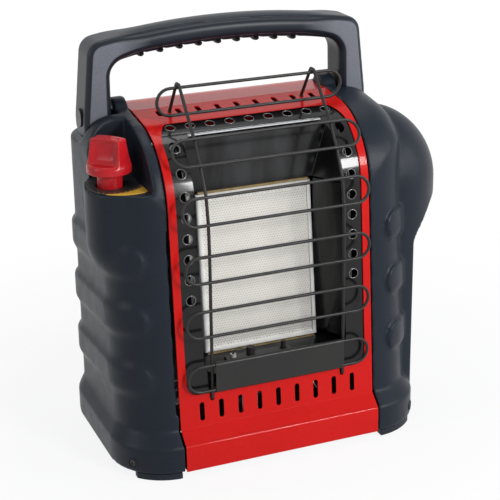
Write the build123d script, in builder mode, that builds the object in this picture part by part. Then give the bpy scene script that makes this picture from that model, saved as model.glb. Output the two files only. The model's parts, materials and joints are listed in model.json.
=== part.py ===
"""Portable propane heater: housing, guard, burner, gas train, knob, regulator and carrying handle.

Millimetres. X runs to the right seen from the front, the front faces -Y, Z is up and the floor is z = 0.
The origin is the middle of the overall box, on the floor; sizes along X below are measured from the
centre line of the red panels, which stands at face_x.
"""

import os
from math import cos, radians, sin

from build123d import *

os.makedirs("parts", exist_ok=True)

# ---------------------------------------------------------------- housing
foot_height = 6.0            # rubber feet lift the skirt off the floor
skirt_edge_z = 30.0          # top of the upright band of the skirt
skirt_top_z = 41.6           # where the skirt's shoulder meets the walls
skirt_tuck = 0.8
panel_half = 94.4            # half width of the red panels
skirt_end = 54.6             # the skirt's reach beyond the red panels
wall_end = 47.6              # the side walls' reach beyond the red panels
skirt_reach = panel_half + skirt_end
wall_reach = panel_half + wall_end
skirt_depth = 98.0           # half depth over the skirt
skirt_corner = skirt_end - 2.6
edge_round = 30.0            # round along the outer edge of each side panel over the crown
wall_corner = wall_end - 2.6  # upright corners of the walls
seam = 0.2                   # gap at every seam between panels
front_base_y = 10.4 - skirt_depth  # front face produced down to the skirt's foot
front_lean = 20.9
front_top_y = front_base_y + front_lean  # front face produced up to the crown
front_top_z = 296.2
front_bend = 68.0            # radius of the bend from the face into the crown
ridge_y = 19.0               # seam between front and back panels
ridge_z = 307.0
rear_base_y = skirt_depth - 2.5
rear_top_y = rear_base_y - 3.0
rear_bend = 44.0
shell = 2.6                  # moulded wall of the side panels
sheet = 1.2                  # painted steel of the red panels

# ribs moulded round each side wall
rib_tops = (101.0, 155.5, 208.5)
rib_height = 33.0
rib_brow = 3.5               # from a rib's top edge down to its flat
rib_flat = 25.0              # from a rib's top edge down to the end of its flat
rib_proud = 3.5
rib_slope = 4.3              # degrees, down towards the back
left_rib_start = panel_half + 23.6 # ribs begin this far from the centre line
right_rib_start = panel_half + 17.6
rib_end_r = 15.0             # rounded ends of the ribs

# ---------------------------------------------------------------- knob corner
pod_x = -(panel_half + 23.6)
pod_y = -25.0
pod_r = 35.0
pod_low_z = 170.0
pod_full_z = 207.0           # height at which the pod reaches its full radius
lip_z = 258.0                # rim of the pod
lip_drop = 1.8               # niche floor below the rim
niche_wall_x = -(panel_half + 10.6) # flat wall of the niche beside the red panel
niche_r = 34.0
knob_x = -(panel_half + 36.6)
knob_y = -27.0
knob_flange_r = 19.6
knob_flange_z = 269.5
knob_flange_h = 8.6
knob_top_z = 300.0
knob_neck_r = 11.0
knob_travel = 6.0            # push to open the pilot valve
knob_tail = 7.0              # neck below the niche floor at rest
slide_gap = 0.3              # radial gap of pieces that only pass by
running_gap = 0.05           # radial gap of shafts in their bores
dial_thick = 0.8
stem_r = 4.0
collar_r = 12.0
collar_h = 9.0
valve_r = 12.0
valve_h = 30.0
spring_wire = 1.4
spring_r = 7.6
spring_turns = 5
valve_z = 192.1
port_z = 207.0
port_r = 5.0
saddle_half = 16.0           # half width of the valve's saddle over its legs
saddle_steel = 1.5
igniter_x = -(panel_half + 11.6)
igniter_r = 6.0
igniter_top_z = 230.0
plunger_r = 3.0
pilot_side = 7.0             # offset of the fine ports from the valve's axis

# ---------------------------------------------------------------- regulator corner
dome_x = panel_half + 40.6
dome_r = 56.5                # plan radius of the hood over the gas cylinder
dome_z = 222.0               # height at which the hood starts to close
dome_top_z = 292.0
bay_edge = dome_x + 16.5     # hood and bay are cut back beyond this reach
rim_z = 174.0                # where the hood's rim leaves the bay edge
rim_slope_x = dome_x + 43.0
rim_slope_z = 207.0
reg_z = 238.0
reg_r = 25.0
reg_depth = 28.0
reg_cover_depth = 6.0
reg_cap_r = 10.0             # cap over the regulator's spring
reg_cap_depth = 12.0
diaphragm_r = 21.0
diaphragm_thick = 1.0
chamber_r = 17.0
reg_boss_r = 13.0
reg_boss_depth = 8.0
pipe_r = 6.0
pipe_y = 34.0                # plane of the supply pipe through the bay wall
pipe_bend = 11.0
inlet_r = 17.0
inlet_z = 194.0              # mouth that the cylinder screws into
inlet_bush_r = 15.0
thread_r = 12.15             # minor radius of the one inch, twenty threads to the inch, socket
thread_length = 12.0
bush_length = 15.0
throat_r = 7.5               # neck between inlet and regulator
seal_thick = 2.0
seal_r = 10.0

# ---------------------------------------------------------------- carrying handle
pivot_y = 39.0
pivot_z = 301.0
leg_inner = panel_half + 16.9
leg_outer = panel_half + 42.1
leg_depth = 36.0
grip_top_z = 381.0
grip_height = 23.0
grip_rise = 12.5             # crest of the grip above its shoulders
hand_taper = 7.0             # the legs close in towards the grip
hand_corner = 14.0
hand_split = 0.15            # gap between the two halves of the handle
nub_count = 9
nub_shift = -6.0             # the nubs sit a little left of the middle of the grip
nub_pitch = 18.3
nub_r = 3.0
nub_drop = 2.6
pin_r = 4.0
cap_r = 8.5
cap_thick = 1.2
ear_r = 15.0
ear_inner = panel_half + seam
ear_outer = panel_half + 13.6
notch_gap = 2.0              # room round the legs in the shoulders
notch_side = 5.0             # room beside the legs, which lean inwards towards the grip
hand_chamfer = 3.5
hand_soft = 7.0              # round along the inner edges

# ---------------------------------------------------------------- red panels and window
window_half = panel_half - 7.4
window_low_z = 71.5
window_top_z = 302.0
window_corner = 12.0
slot_count = 9
slot_pitch = 18.4
slot_z = 55.3
slot_length = 17.5
slot_width = 4.4
crown_slot_y = 6.5
crown_slot_length = 13.0
guard_x = panel_half - 30.9  # guard uprights
guard_foot_z = 65.5
bezel_thick = 0.8
bezel_open_half = window_half - 18.0
bezel_open_low_z = 88.0
bezel_open_top_z = 294.5
bezel_hole_x = window_half - 9.0
bezel_hole_r = 3.9
bezel_hole_low_z = 159.0
bezel_hole_rows = 8
bezel_row_y = -22.0

# ---------------------------------------------------------------- guard
wire_r = 1.5
weld_gap = 0.1               # wires meet within this gap where they are welded
loop_half = window_half - 0.2
loop_height = 24.0
# depth, height and backward lean of each loop over the face
loop_places = (
    (front_base_y + 23.1, 288.3, 34.0),
    (front_base_y + 2.1, 242.2, 9.0),
    (front_base_y - 0.9, 190.7, 0.0),
    (front_base_y - 0.4, 140.0, 0.0),
    (front_base_y, 88.0, 0.0),
)
crown_loop_y = -17.0
crown_loop_z = 321.0
crown_loop_half = window_half
crown_loop_shift = 4.0       # the crown loop sits a little to the right
guard_bend = 6.0             # bends of the uprights
hem = 0.8                    # sheet rolled round the lowest loop to hold the plate

# ---------------------------------------------------------------- burner
tile_w = 105.0
tile_h = 141.0
tile_thick = 13.0
tile_y = -38.0
tile_z = 165.0
tile_lean = 6.0
frame_rim = 3.0              # rim of the burner frame round the tile
frame_lip = 1.2              # the frame's lip over the tile's edge
gasket_thick = 2.0
gasket_width = 7.0
box_depth = 26.0
plate_steel = 1.0
fit_gap = 0.3                # gap between pieces that are seated on each other
standoff_r = 4.0
standoff_x = tile_w / 2 - 12.5
standoff_z = tile_h / 2 - 25.5
mixer_r = 11.0
mixer_wall = 1.2
mixer_length = 34.0
mixer_tail = 10.0            # length of the mixer tube inside the burner box
mouth_r = 14.0
mouth_length = 8.0
jet_r = 5.0
jet_length = 14.0
jet_gap = 5.0                # air gap between the jet and the mixer's mouth
holder_size = 16.0
holder_height = 12.0
tube_r = 3.2
tube_bend = 12.0
fine_tube_r = 1.6
lead_r = 1.0

# ---------------------------------------------------------------- heat plates
reflector_back_half = tile_w / 2 + frame_rim + 1.1
reflector_back_y = tile_y + 5.0
reflector_front_half = bezel_open_half + 5.6
reflector_front_y = front_base_y + 21.6
reflector_low_z = 93.0
reflector_top_z = 240.2
hood_low = (reflector_back_half - 0.1, tile_y + 7.0, 241.5)
hood_high = (bezel_open_half, tile_y - 0.6, 298.5)
hood_side = (bezel_open_half + 5.4, front_base_y + 23.6, 241.5)
tray_half = bezel_open_half + 5.0
tray_back = (-47.5, 91.0)
tray_front = (front_base_y + 8.3, 85.5)
chassis_half = bezel_open_half + 8.0
chassis_y = 14.0
chassis_wing_z = 97.0
chassis_top_z = 286.0

# ---------------------------------------------------------------- pilot and tip switch
pilot_y = front_base_y + 27.6
pilot_x = -17.0
pilot_r = 4.0
pilot_top_z = 98.0
probe_x = 15.0
probe_r = 2.2
electrode_x = -34.0
electrode_r = 2.8
tip_x = -60.0
tip_y = rear_base_y - 44.5
tip_z = 42.0
tip_reach = 20.0             # pin to the middle of the weight
tip_bob_r = 6.0
tip_pin_r = 1.5
tip_half = 14.0
tip_wall = 2.0

face_x = -((dome_x + dome_r) + (pod_x - pod_r)) / 2


def level(z):
    """Plan plane at height z, centred on the red panels."""
    return Plane(origin=(face_x, 0, z))


def facing(y):
    """Plane seen from the front at depth y: local x to the right, local y up, normal to the front."""
    return Plane(origin=(face_x, y, 0), x_dir=(1, 0, 0), z_dir=(0, -1, 0))


def flank(x):
    """Plane seen from the right at reach x: local x towards the back, local y up."""
    return Plane(origin=(face_x + x, 0, 0), x_dir=(0, 1, 0), z_dir=(1, 0, 0))


def upright_axis(x, y):
    """Upright axis through a plan position."""
    return Axis((face_x + x, y, 0), (0, 0, 1))


def front_y(z):
    """Depth of the straight front face at height z."""
    return front_base_y + (front_top_y - front_base_y) * (z - foot_height) / (front_top_z - foot_height)


def rear_y(z):
    """Depth of the straight rear face at height z."""
    return rear_base_y + (rear_top_y - rear_base_y) * (z - foot_height) / (ridge_z - foot_height)


def finish(piece, name):
    """Label a finished piece and write its file."""
    piece.part.label = name
    export_step(piece.part, f"parts/{name}.step")


# ---------------------------------------------------------------- shared housing shapes
def side_profile(inset):
    """Outline of the walls seen from the side, above the skirt, shrunk by inset."""
    with BuildSketch() as profile:
        with BuildLine():
            Polyline(
                (front_base_y, foot_height),
                (front_top_y, front_top_z),
                (ridge_y, ridge_z),
                (rear_top_y, ridge_z),
                (rear_base_y, foot_height),
                close=True,
            )
        make_face()
        crown = profile.vertices().group_by(Axis.Y)[-1].sort_by(Axis.X)
        fillet(crown[-1], rear_bend)
        fillet(profile.vertices().filter_by_position(Axis.Y, front_top_z - 1, front_top_z + 1), front_bend)
        if inset:
            offset(amount=-inset, kind=Kind.INTERSECTION)
    return profile.sketch


def full_profile(inset):
    """Side outline of the red panels, skirt step included, shrunk by inset."""
    with BuildSketch() as profile:
        add(side_profile(0))
        with BuildLine():
            Polyline(
                (-skirt_depth, foot_height),
                (-skirt_depth, skirt_edge_z),
                (front_y(skirt_top_z), skirt_top_z),
                (rear_y(skirt_top_z), skirt_top_z),
                (skirt_depth, skirt_edge_z),
                (skirt_depth, foot_height),
                close=True,
            )
        make_face()
        if inset:
            offset(amount=-inset, kind=Kind.INTERSECTION)
    return profile.sketch


def plan_outline(side, height, reach, front, back, corner, start, tilt=0.0):
    """Plan of one end of the housing at a height, its two outer corners rounded; tilt drops its back."""
    up = (0, sin(radians(tilt)), cos(radians(tilt)))
    spot = Plane(origin=(face_x, 0, height), x_dir=(1, 0, 0), z_dir=up)
    with BuildSketch(spot) as outline:
        with Locations((side * (start + reach) / 2, (front + back) / 2)):
            Rectangle(reach - start, back - front)
        fillet(outline.vertices().group_by(Axis.X)[-1 if side > 0 else 0], corner)
    return outline.sketch


def wall_ends(side, inset, start):
    """Upright block with the walls' rounded corners, leaning with the front and rear faces."""
    low, high = (
        plan_outline(
            side,
            height,
            wall_reach - inset,
            front_y(height) + inset,
            rear_y(height) - inset,
            wall_corner - inset,
            start,
        )
        for height in (foot_height, ridge_z)
    )
    with BuildPart() as ends:
        loft([low, high])
    return ends.part


def walls(side, inset, cover=0.0):
    """Solid end of the housing above the skirt; side is -1 for left, +1 for right."""
    reach = wall_reach - inset
    start = panel_half + seam - cover
    with BuildPart() as block:
        with BuildSketch(flank(side * start)):
            add(side_profile(inset))
        extrude(amount=side * (reach - start))
        outer = block.faces().sort_by(Axis.X)[-1 if side > 0 else 0]
        rounded = outer.edges().filter_by(lambda edge: edge.center().Z > foot_height + inset + 1)
        fillet(rounded, edge_round - inset)
        add(wall_ends(side, inset, start), mode=Mode.INTERSECT)
    return block.part


def skirt(side, inset, cover=0.0):
    """Solid end of the flared skirt, shrunk by inset."""
    start = panel_half + seam - cover
    depth = skirt_depth - inset
    reach = skirt_reach - inset
    low = plan_outline(side, foot_height + inset, reach, -depth, depth, skirt_corner - inset, start)
    edge = plan_outline(side, skirt_edge_z, reach, -depth, depth, skirt_corner - inset, start)
    # the shoulder runs on a little way inside the walls
    tuck = inset + skirt_tuck
    top = plan_outline(
        side,
        skirt_top_z + skirt_tuck,
        wall_reach - tuck,
        front_y(skirt_top_z) + tuck,
        rear_y(skirt_top_z) - tuck,
        wall_corner - tuck,
        start,
    )
    with BuildPart() as band:
        extrude(low, amount=skirt_edge_z - foot_height - inset)
        loft([edge, top])
    return band.part


def rib(side, top_z):
    """One rib round the side wall: sloping brow, upright flat and sloping underside."""

    def ring(drop, proud):
        """Plan outline of the rib at a drop below its top edge."""
        height = top_z - drop
        front = front_y(height) - proud
        back = rear_y(height) + proud
        return plan_outline(
            side, height, wall_reach + proud, front, back, wall_corner + proud, panel_half, rib_slope
        )

    start = (left_rib_start if side < 0 else right_rib_start) + rib_end_r
    along = (0, -cos(radians(rib_slope)), sin(radians(rib_slope)))
    middle = Plane(origin=(face_x, 0, top_z - rib_height / 2), x_dir=(1, 0, 0), z_dir=along)
    with BuildPart() as band:
        loft([ring(rib_brow, rib_proud), ring(0, -seam)])
        loft([ring(rib_flat, rib_proud), ring(rib_brow, rib_proud)])
        loft([ring(rib_height, -seam), ring(rib_flat, rib_proud)])
        with BuildSketch(middle):
            with Locations((side * start, 0)):
                Circle(rib_end_r)
            with Locations((side * (start + wall_reach / 2), 0)):
                Rectangle(wall_reach, 2 * rib_height)
        extrude(amount=2 * skirt_depth, both=True, mode=Mode.INTERSECT)
    return band.part


def pod(inset):
    """Upright bulge that carries the knob, rounded off below, up to its rim."""
    radius = pod_r - inset
    with BuildPart() as bulge:
        with BuildSketch(Plane(origin=(face_x + pod_x, pod_y, 0), x_dir=(1, 0, 0), z_dir=(0, -1, 0))):
            with BuildLine():
                foot = Line((0, pod_low_z + inset), (radius / 3, pod_low_z + inset))
                wall = Line((radius, pod_full_z), (radius, lip_z))
                TangentArc(wall @ 0, foot @ 1, tangent=(0, -1))
                Line(wall @ 1, (0, lip_z))
                Line((0, lip_z), foot @ 0)
            make_face()
        revolve(axis=upright_axis(pod_x, pod_y))
    return bulge.part


def niche(grow):
    """Room round the knob: round behind, flat beside the red panel, open in front, outside and above."""
    far = 60.0
    with BuildPart() as pocket:
        with BuildSketch(level(lip_z - lip_drop - grow)):
            with Locations((pod_x, pod_y)):
                Circle(niche_r + grow)
            with Locations((pod_x - far / 2, pod_y - far)):
                Rectangle(3 * far, 2 * far)
            with Locations((niche_wall_x + grow - far, 0)):
                Rectangle(2 * far, 6 * far, mode=Mode.INTERSECT)
        extrude(amount=far)
    return pocket.part


def hood(inset):
    """Upright room for the gas cylinder with a domed top."""
    radius = dome_r - inset
    with BuildPart() as tower:
        with BuildSketch(Plane(origin=(face_x + dome_x, 0, 0), x_dir=(1, 0, 0), z_dir=(0, -1, 0))):
            with BuildLine():
                wall = Line((radius, foot_height - inset), (radius, dome_z))
                TangentArc(wall @ 1, (0, dome_top_z - inset), tangent=(0, 1))
                Line((0, dome_top_z - inset), (0, foot_height - inset))
                Line((0, foot_height - inset), wall @ 0)
            make_face()
        revolve(axis=upright_axis(dome_x, 0))
    return tower.part


def rim_cut():
    """Everything outboard of the hood's rim and of the bay's front and back edges."""
    far = 400.0
    with BuildPart() as cut:
        with BuildSketch(facing(far / 2)) as mouth:
            with BuildLine():
                Polyline(
                    (bay_edge, -foot_height),
                    (bay_edge, rim_z),
                    (rim_slope_x, rim_slope_z),
                    (far, rim_slope_z + 4),
                    (far, -foot_height),
                    close=True,
                )
            make_face()
            fillet(mouth.vertices().filter_by_position(Axis.Y, rim_z - 1, rim_slope_z + 1), 24)
        extrude(amount=far)
    return cut.part


def leg_notch(side, grow=0.0):
    """Room in the shoulder for one leg of the handle, upright or folded back."""
    room = notch_gap + grow
    low_z = pivot_z - leg_depth / 2 - room
    front = pivot_y - leg_depth / 2 - room
    far = 120.0
    with BuildPart() as notch:
        with BuildSketch(flank(side * (leg_inner - notch_side - grow))) as shape:
            with Locations((front + far / 2, low_z + far / 2)):
                Rectangle(far, far)
            fillet(shape.vertices().group_by(Axis.X)[0].sort_by(Axis.Y)[0], leg_depth / 2 + grow)
        extrude(amount=side * far)
    return notch.part


def ear(side):
    """Boss on the shoulder that carries the handle's pivot pin."""
    with BuildPart() as boss:
        with BuildSketch(flank(side * ear_inner)):
            with Locations((pivot_y, pivot_z)):
                Circle(ear_r)
            with Locations((pivot_y, (pivot_z + ridge_z - 2 * shell) / 2)):
                Rectangle(2 * ear_r, pivot_z - ridge_z + 2 * shell)
        extrude(amount=side * (ear_outer - ear_inner))
    return boss.part


def pivot_hole(side, gap):
    """Bore for the pivot pin through ear and leg."""
    with BuildPart() as bore:
        with BuildSketch(flank(side * (ear_inner - shell))):
            with Locations((pivot_y, pivot_z)):
                Circle(pin_r + gap)
        extrude(amount=side * (leg_outer + cap_thick + 2 * shell - ear_inner))
    return bore.part


def upright_bore(x, y, low_z, high_z, radius):
    """Upright cylinder used for bores and round pieces."""
    with BuildPart() as bore:
        with BuildSketch(level(low_z)):
            with Locations((x, y)):
                Circle(radius)
        extrude(amount=high_z - low_z)
    return bore.part


def cross_bore(low_x, high_x, y, z, radius):
    """Cylinder along X used for bores, pins and pipes."""
    with BuildPart() as bore:
        with BuildSketch(flank(low_x)):
            with Locations((y, z)):
                Circle(radius)
        extrude(amount=high_x - low_x)
    return bore.part


def outside(reach_side, start):
    """Half space beyond a reach on one side, used to trim a piece at its seam."""
    far = 400.0
    with BuildPart() as half:
        with BuildSketch(flank(reach_side * start)):
            Rectangle(3 * far, 3 * far)
        extrude(amount=reach_side * far)
    return half.part


# ---------------------------------------------------------------- side panels
with BuildPart() as left_cavity:
    add(walls(-1, shell, cover=1))
    add(skirt(-1, shell, cover=1))
    add(pod(shell))
    add(niche(shell), mode=Mode.SUBTRACT)
    add(leg_notch(-1, shell), mode=Mode.SUBTRACT)

with BuildPart() as left_side_panel:
    add(walls(-1, 0))
    add(skirt(-1, 0))
    for height in rib_tops:
        add(rib(-1, height))
    add(pod(0))
    add(niche(0), mode=Mode.SUBTRACT)
    add(leg_notch(-1), mode=Mode.SUBTRACT)
    add(left_cavity.part, mode=Mode.SUBTRACT)
    add(outside(-1, panel_half + seam), mode=Mode.INTERSECT)
    add(ear(-1))
    add(pivot_hole(-1, 0), mode=Mode.SUBTRACT)
    low = lip_z - lip_drop - 2 * shell
    add(upright_bore(knob_x, knob_y, low, lip_z, knob_neck_r + slide_gap), mode=Mode.SUBTRACT)
finish(left_side_panel, "left_side_panel")

with BuildPart() as right_cavity:
    add(walls(1, shell, cover=1))
    add(skirt(1, shell, cover=1))
    add(hood(0), mode=Mode.SUBTRACT)
    add(leg_notch(1, shell), mode=Mode.SUBTRACT)

with BuildPart() as right_side_panel:
    add(walls(1, 0))
    add(skirt(1, 0))
    for height in rib_tops:
        add(rib(1, height))
    add(leg_notch(1), mode=Mode.SUBTRACT)
    add(outside(1, panel_half + seam), mode=Mode.INTERSECT)
    add(hood(0))
    add(right_cavity.part, mode=Mode.SUBTRACT)
    add(hood(shell), mode=Mode.SUBTRACT)
    add(rim_cut(), mode=Mode.SUBTRACT)
    add(ear(1))
    add(pivot_hole(1, 0), mode=Mode.SUBTRACT)
    add(cross_bore(0, dome_x - dome_r / 2, pipe_y, reg_z, pipe_r + slide_gap), mode=Mode.SUBTRACT)
finish(right_side_panel, "right_side_panel")


# ---------------------------------------------------------------- red panels
def sheet_band(inset, thickness, half):
    """Closed band of sheet steel that follows the side outline."""
    with BuildPart() as band:
        with BuildSketch(flank(-half)):
            add(full_profile(inset))
            add(full_profile(inset + thickness), mode=Mode.SUBTRACT)
        extrude(amount=2 * half)
    return band.part


def block(x_range, y_range, z_range):
    """Plain box given by its ranges, x from the centre line of the red panels."""
    with BuildPart() as body:
        with BuildSketch(level(z_range[0])):
            with Locations(((x_range[0] + x_range[1]) / 2, (y_range[0] + y_range[1]) / 2)):
                Rectangle(x_range[1] - x_range[0], y_range[1] - y_range[0])
        extrude(amount=z_range[1] - z_range[0])
    return body.part


far = 400.0
screw_x = panel_half - 7
screw_rows = (60.0, 160.0, 250.0)
screw_r = 1.6
screw_head_r = 3.6
screw_head = 2.0
screw_length = 9.0
floor_z = foot_height + sheet

with BuildPart() as front_panel:
    add(sheet_band(0, sheet, panel_half))
    add(block((-far, far), (-far, ridge_y), (0, far)), mode=Mode.INTERSECT)
    add(block((-far, far), (-skirt_depth + sheet, far), (0, floor_z + sheet)), mode=Mode.SUBTRACT)
    with BuildSketch(facing(0)):
        with Locations((0, (window_low_z + window_top_z) / 2)):
            RectangleRounded(2 * window_half, window_top_z - window_low_z, window_corner)
    extrude(amount=far, mode=Mode.SUBTRACT)
    with BuildSketch(facing(0)):
        with Locations((0, slot_z)):
            with GridLocations(slot_pitch, 1, slot_count, 1):
                SlotOverall(slot_length, slot_width, rotation=90)
        for side in (-1, 1):
            with Locations((side * guard_x, guard_foot_z)):
                Circle(wire_r + fit_gap)
            with Locations((side * guard_x, (guard_foot_z + window_low_z + sheet) / 2)):
                Rectangle(2 * (wire_r + fit_gap), window_low_z + sheet - guard_foot_z)
    extrude(amount=far, mode=Mode.SUBTRACT)
    with BuildSketch(level(front_top_z)):
        with Locations((0, crown_slot_y)):
            with GridLocations(slot_pitch, 1, slot_count, 1):
                SlotOverall(crown_slot_length, slot_width, rotation=90)
        with Locations((-guard_x, crown_slot_y), (guard_x, crown_slot_y)):
            Circle(wire_r + fit_gap)
    extrude(amount=far, mode=Mode.SUBTRACT)
finish(front_panel, "front_panel")

vent_rows = (230.0, 110.0)
vent_length = 46.0
with BuildPart() as back_panel:
    add(sheet_band(0, sheet, panel_half))
    add(block((-far, far), (ridge_y + seam, far), (0, far)), mode=Mode.INTERSECT)
    add(block((-far, far), (-far, skirt_depth - sheet), (0, floor_z + sheet)), mode=Mode.SUBTRACT)
    with BuildSketch(facing(far)):
        for vent_z in vent_rows:
            with Locations((0, vent_z)):
                with GridLocations(slot_pitch, 1, slot_count - 2, 1):
                    SlotOverall(vent_length, slot_width, rotation=90)
        for screw_z in screw_rows:
            with Locations((-screw_x, screw_z), (screw_x, screw_z)):
                Circle(screw_r)
    extrude(amount=far - ridge_y - rear_bend, mode=Mode.SUBTRACT)
finish(back_panel, "back_panel")

with BuildPart() as case_screws:
    for screw_z in screw_rows:
        for side in (-1, 1):
            with BuildSketch(facing(rear_y(screw_z) + seam / 2)):
                with Locations((side * screw_x, screw_z)):
                    Circle(screw_head_r)
            extrude(amount=-screw_head)
            with BuildSketch(facing(rear_y(screw_z) + seam / 2)):
                with Locations((side * screw_x, screw_z)):
                    Circle(screw_r - running_gap)
            extrude(amount=screw_length)
finish(case_screws, "case_screws")

with BuildPart() as base_plate:
    with BuildSketch(level(floor_z + seam)) as floor_outline:
        Rectangle(2 * panel_half, 2 * (skirt_depth - sheet - seam))
        with Locations((0, -skirt_depth / 2), (0, skirt_depth / 2)):
            with GridLocations(slot_pitch, 1, slot_count, 1):
                SlotOverall(vent_length, slot_width, rotation=90, mode=Mode.SUBTRACT)
    extrude(amount=sheet)
    add(hood(-seam), mode=Mode.SUBTRACT)
finish(base_plate, "base_plate")

foot_start = 98.0
foot_reach = 135.0
foot_depth = 24.0
foot_edge = 1.0
with BuildPart() as rubber_feet:
    for side in (-1, 1):
        with BuildSketch(level(0)):
            add(
                plan_outline(
                    side,
                    0,
                    skirt_reach - foot_edge,
                    -skirt_depth + foot_edge,
                    skirt_depth - foot_edge,
                    skirt_corner - foot_edge,
                    panel_half,
                ).moved(Location((-face_x, 0, 0)))
            )
            with Locations((side * (foot_start + foot_reach) / 2, 0)):
                Rectangle(foot_reach - foot_start, far, mode=Mode.INTERSECT)
            Rectangle(far, 2 * (skirt_depth - foot_depth), mode=Mode.SUBTRACT)
        extrude(amount=foot_height)
    fillet(rubber_feet.faces().sort_by(Axis.Z)[0].edges(), foot_edge)
finish(rubber_feet, "rubber_feet")

# ---------------------------------------------------------------- window bezel
bezel_half = window_half + 4
bezel_crown_y = -12.0
with BuildPart() as window_bezel:
    add(sheet_band(sheet + seam, bezel_thick, bezel_half))
    add(block((-far, far), (-far, bezel_crown_y), (window_low_z - 4, far)), mode=Mode.INTERSECT)
    with BuildSketch(facing(0)):
        with Locations((0, (bezel_open_low_z + bezel_open_top_z) / 2)):
            RectangleRounded(2 * bezel_open_half, bezel_open_top_z - bezel_open_low_z, window_corner)
        for row in range(bezel_hole_rows):
            hole_z = bezel_hole_low_z + row * slot_pitch
            with Locations((-bezel_hole_x, hole_z), (bezel_hole_x, hole_z)):
                Circle(bezel_hole_r)
    extrude(amount=far, mode=Mode.SUBTRACT)
    with BuildSketch(level(front_top_z - 2 * bezel_hole_r)):
        with Locations((0, bezel_row_y)):
            with GridLocations(slot_pitch, 1, slot_count, 1):
                Circle(bezel_hole_r)
    extrude(amount=far, mode=Mode.SUBTRACT)
finish(window_bezel, "window_bezel")


# ---------------------------------------------------------------- guard
def loop_points(place, inward):
    """Top and bottom of a loop's straight height in the side view, moved inwards along its normal."""
    y, z, lean = place
    up_y, up_z = sin(radians(lean)), cos(radians(lean))
    centre = (y + inward * up_z, z - inward * up_y)
    half = loop_height / 2
    return (
        (centre[0] + half * up_y, centre[1] + half * up_z),
        (centre[0] - half * up_y, centre[1] - half * up_z),
    )


def wire_loop(y, z, lean, half, shift=0.0):
    """Closed racetrack of wire."""
    spot = Plane(
        origin=(face_x + shift, y, z),
        x_dir=(1, 0, 0),
        z_dir=(0, -cos(radians(lean)), sin(radians(lean))),
    )
    bend = loop_height / 2
    with BuildPart() as loop:
        with BuildLine(spot) as path:
            top = Line((-half + bend, bend), (half - bend, bend))
            right = ThreePointArc(top @ 1, (half, 0), (half - bend, -bend))
            bottom = Line(right @ 1, (-half + bend, -bend))
            ThreePointArc(bottom @ 1, (-half, 0), top @ 0)
        with BuildSketch(Plane(origin=path.line @ 0, z_dir=(1, 0, 0))):
            Circle(wire_r)
        sweep(path=path.line)
    return loop.part


weld = 2 * wire_r + weld_gap
with BuildPart() as guard_loops:
    for place in loop_places:
        add(wire_loop(*place, loop_half))
    add(wire_loop(crown_loop_y, crown_loop_z, 0, crown_loop_half, crown_loop_shift))
finish(guard_loops, "guard_loops")

crown_wire_z = crown_loop_z + loop_height / 2
hook_y = crown_loop_y + weld
foot_y = loop_places[-1][0] + weld
upright_route = [
    (crown_slot_y, front_top_z),
    (crown_slot_y, ridge_z),
    (hook_y, crown_wire_z + weld),
    (crown_loop_y - weld, crown_wire_z + weld),
]
for place in loop_places:
    upright_route.extend(loop_points(place, weld))
upright_route[-1] = (foot_y, guard_foot_z)
upright_route.append((front_y(guard_foot_z) + 4 * sheet, guard_foot_z))
route_bends = [guard_bend / 2] + [wire_r + weld_gap] * 2
route_bends += [guard_bend] * (2 * len(loop_places) - 1) + [2 * wire_r]

with BuildPart() as guard_uprights:
    for side in (-1, 1):
        with BuildLine(flank(side * guard_x)) as path:
            FilletPolyline(*upright_route, radius=route_bends)
        with BuildSketch(Plane(origin=path.line @ 0, z_dir=(0, 0, 1))):
            Circle(wire_r)
        sweep(path=path.line)
finish(guard_uprights, "guard_uprights")

plate_y, plate_z = loop_places[-1][:2]
plate_half = guard_x - wire_r - weld_gap
with BuildPart() as guard_plate:
    with BuildSketch(flank(-plate_half)):
        for end in (-1, 1):
            with Locations((plate_y, plate_z + end * loop_height / 2)):
                Circle(wire_r + weld_gap + hem)
        with Locations((plate_y - wire_r - weld_gap - hem / 2, plate_z)):
            Rectangle(hem, loop_height)
        for end in (-1, 1):
            with Locations((plate_y, plate_z + end * loop_height / 2)):
                Circle(wire_r + weld_gap, mode=Mode.SUBTRACT)
    extrude(amount=2 * plate_half)
finish(guard_plate, "guard_plate")


# ---------------------------------------------------------------- burner
tile_face = Plane(
    origin=(face_x, tile_y, tile_z),
    x_dir=(1, 0, 0),
    z_dir=(0, -cos(radians(tile_lean)), sin(radians(tile_lean))),
)
frame_w = tile_w + 2 * frame_rim
frame_h = tile_h + 2 * frame_rim
gasket_back = -tile_thick - fit_gap - gasket_thick
box_front = gasket_back - fit_gap
box_back = box_front - box_depth


def slab(width, height, back, front, middle=(0, 0), opening=None):
    """Rectangular slab parallel to the tile; back and front are measured along the tile's normal."""
    with BuildPart() as body:
        with BuildSketch(tile_face.offset(back)):
            with Locations(middle):
                Rectangle(width, height)
                if opening:
                    Rectangle(opening[0], opening[1], mode=Mode.SUBTRACT)
        extrude(amount=front - back)
    return body.part


def turned(plane, outline):
    """Solid turned about the upright line through a plane's origin."""
    with BuildPart() as body:
        with BuildSketch(plane):
            with BuildLine():
                Polyline(*outline, close=True)
            make_face()
        revolve(axis=Axis(plane.origin, plane.y_dir))
    return body.part


with BuildPart() as burner_tile:
    add(slab(tile_w, tile_h, -tile_thick, 0))
finish(burner_tile, "burner_tile")

with BuildPart() as tile_frame:
    add(slab(frame_w, frame_h, -tile_thick, fit_gap + plate_steel))
    add(slab(tile_w + 2 * fit_gap, tile_h + 2 * fit_gap, -tile_thick, fit_gap), mode=Mode.SUBTRACT)
    add(slab(tile_w - 2 * frame_lip, tile_h - 2 * frame_lip, -1, tile_thick), mode=Mode.SUBTRACT)
finish(tile_frame, "tile_frame")

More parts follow.
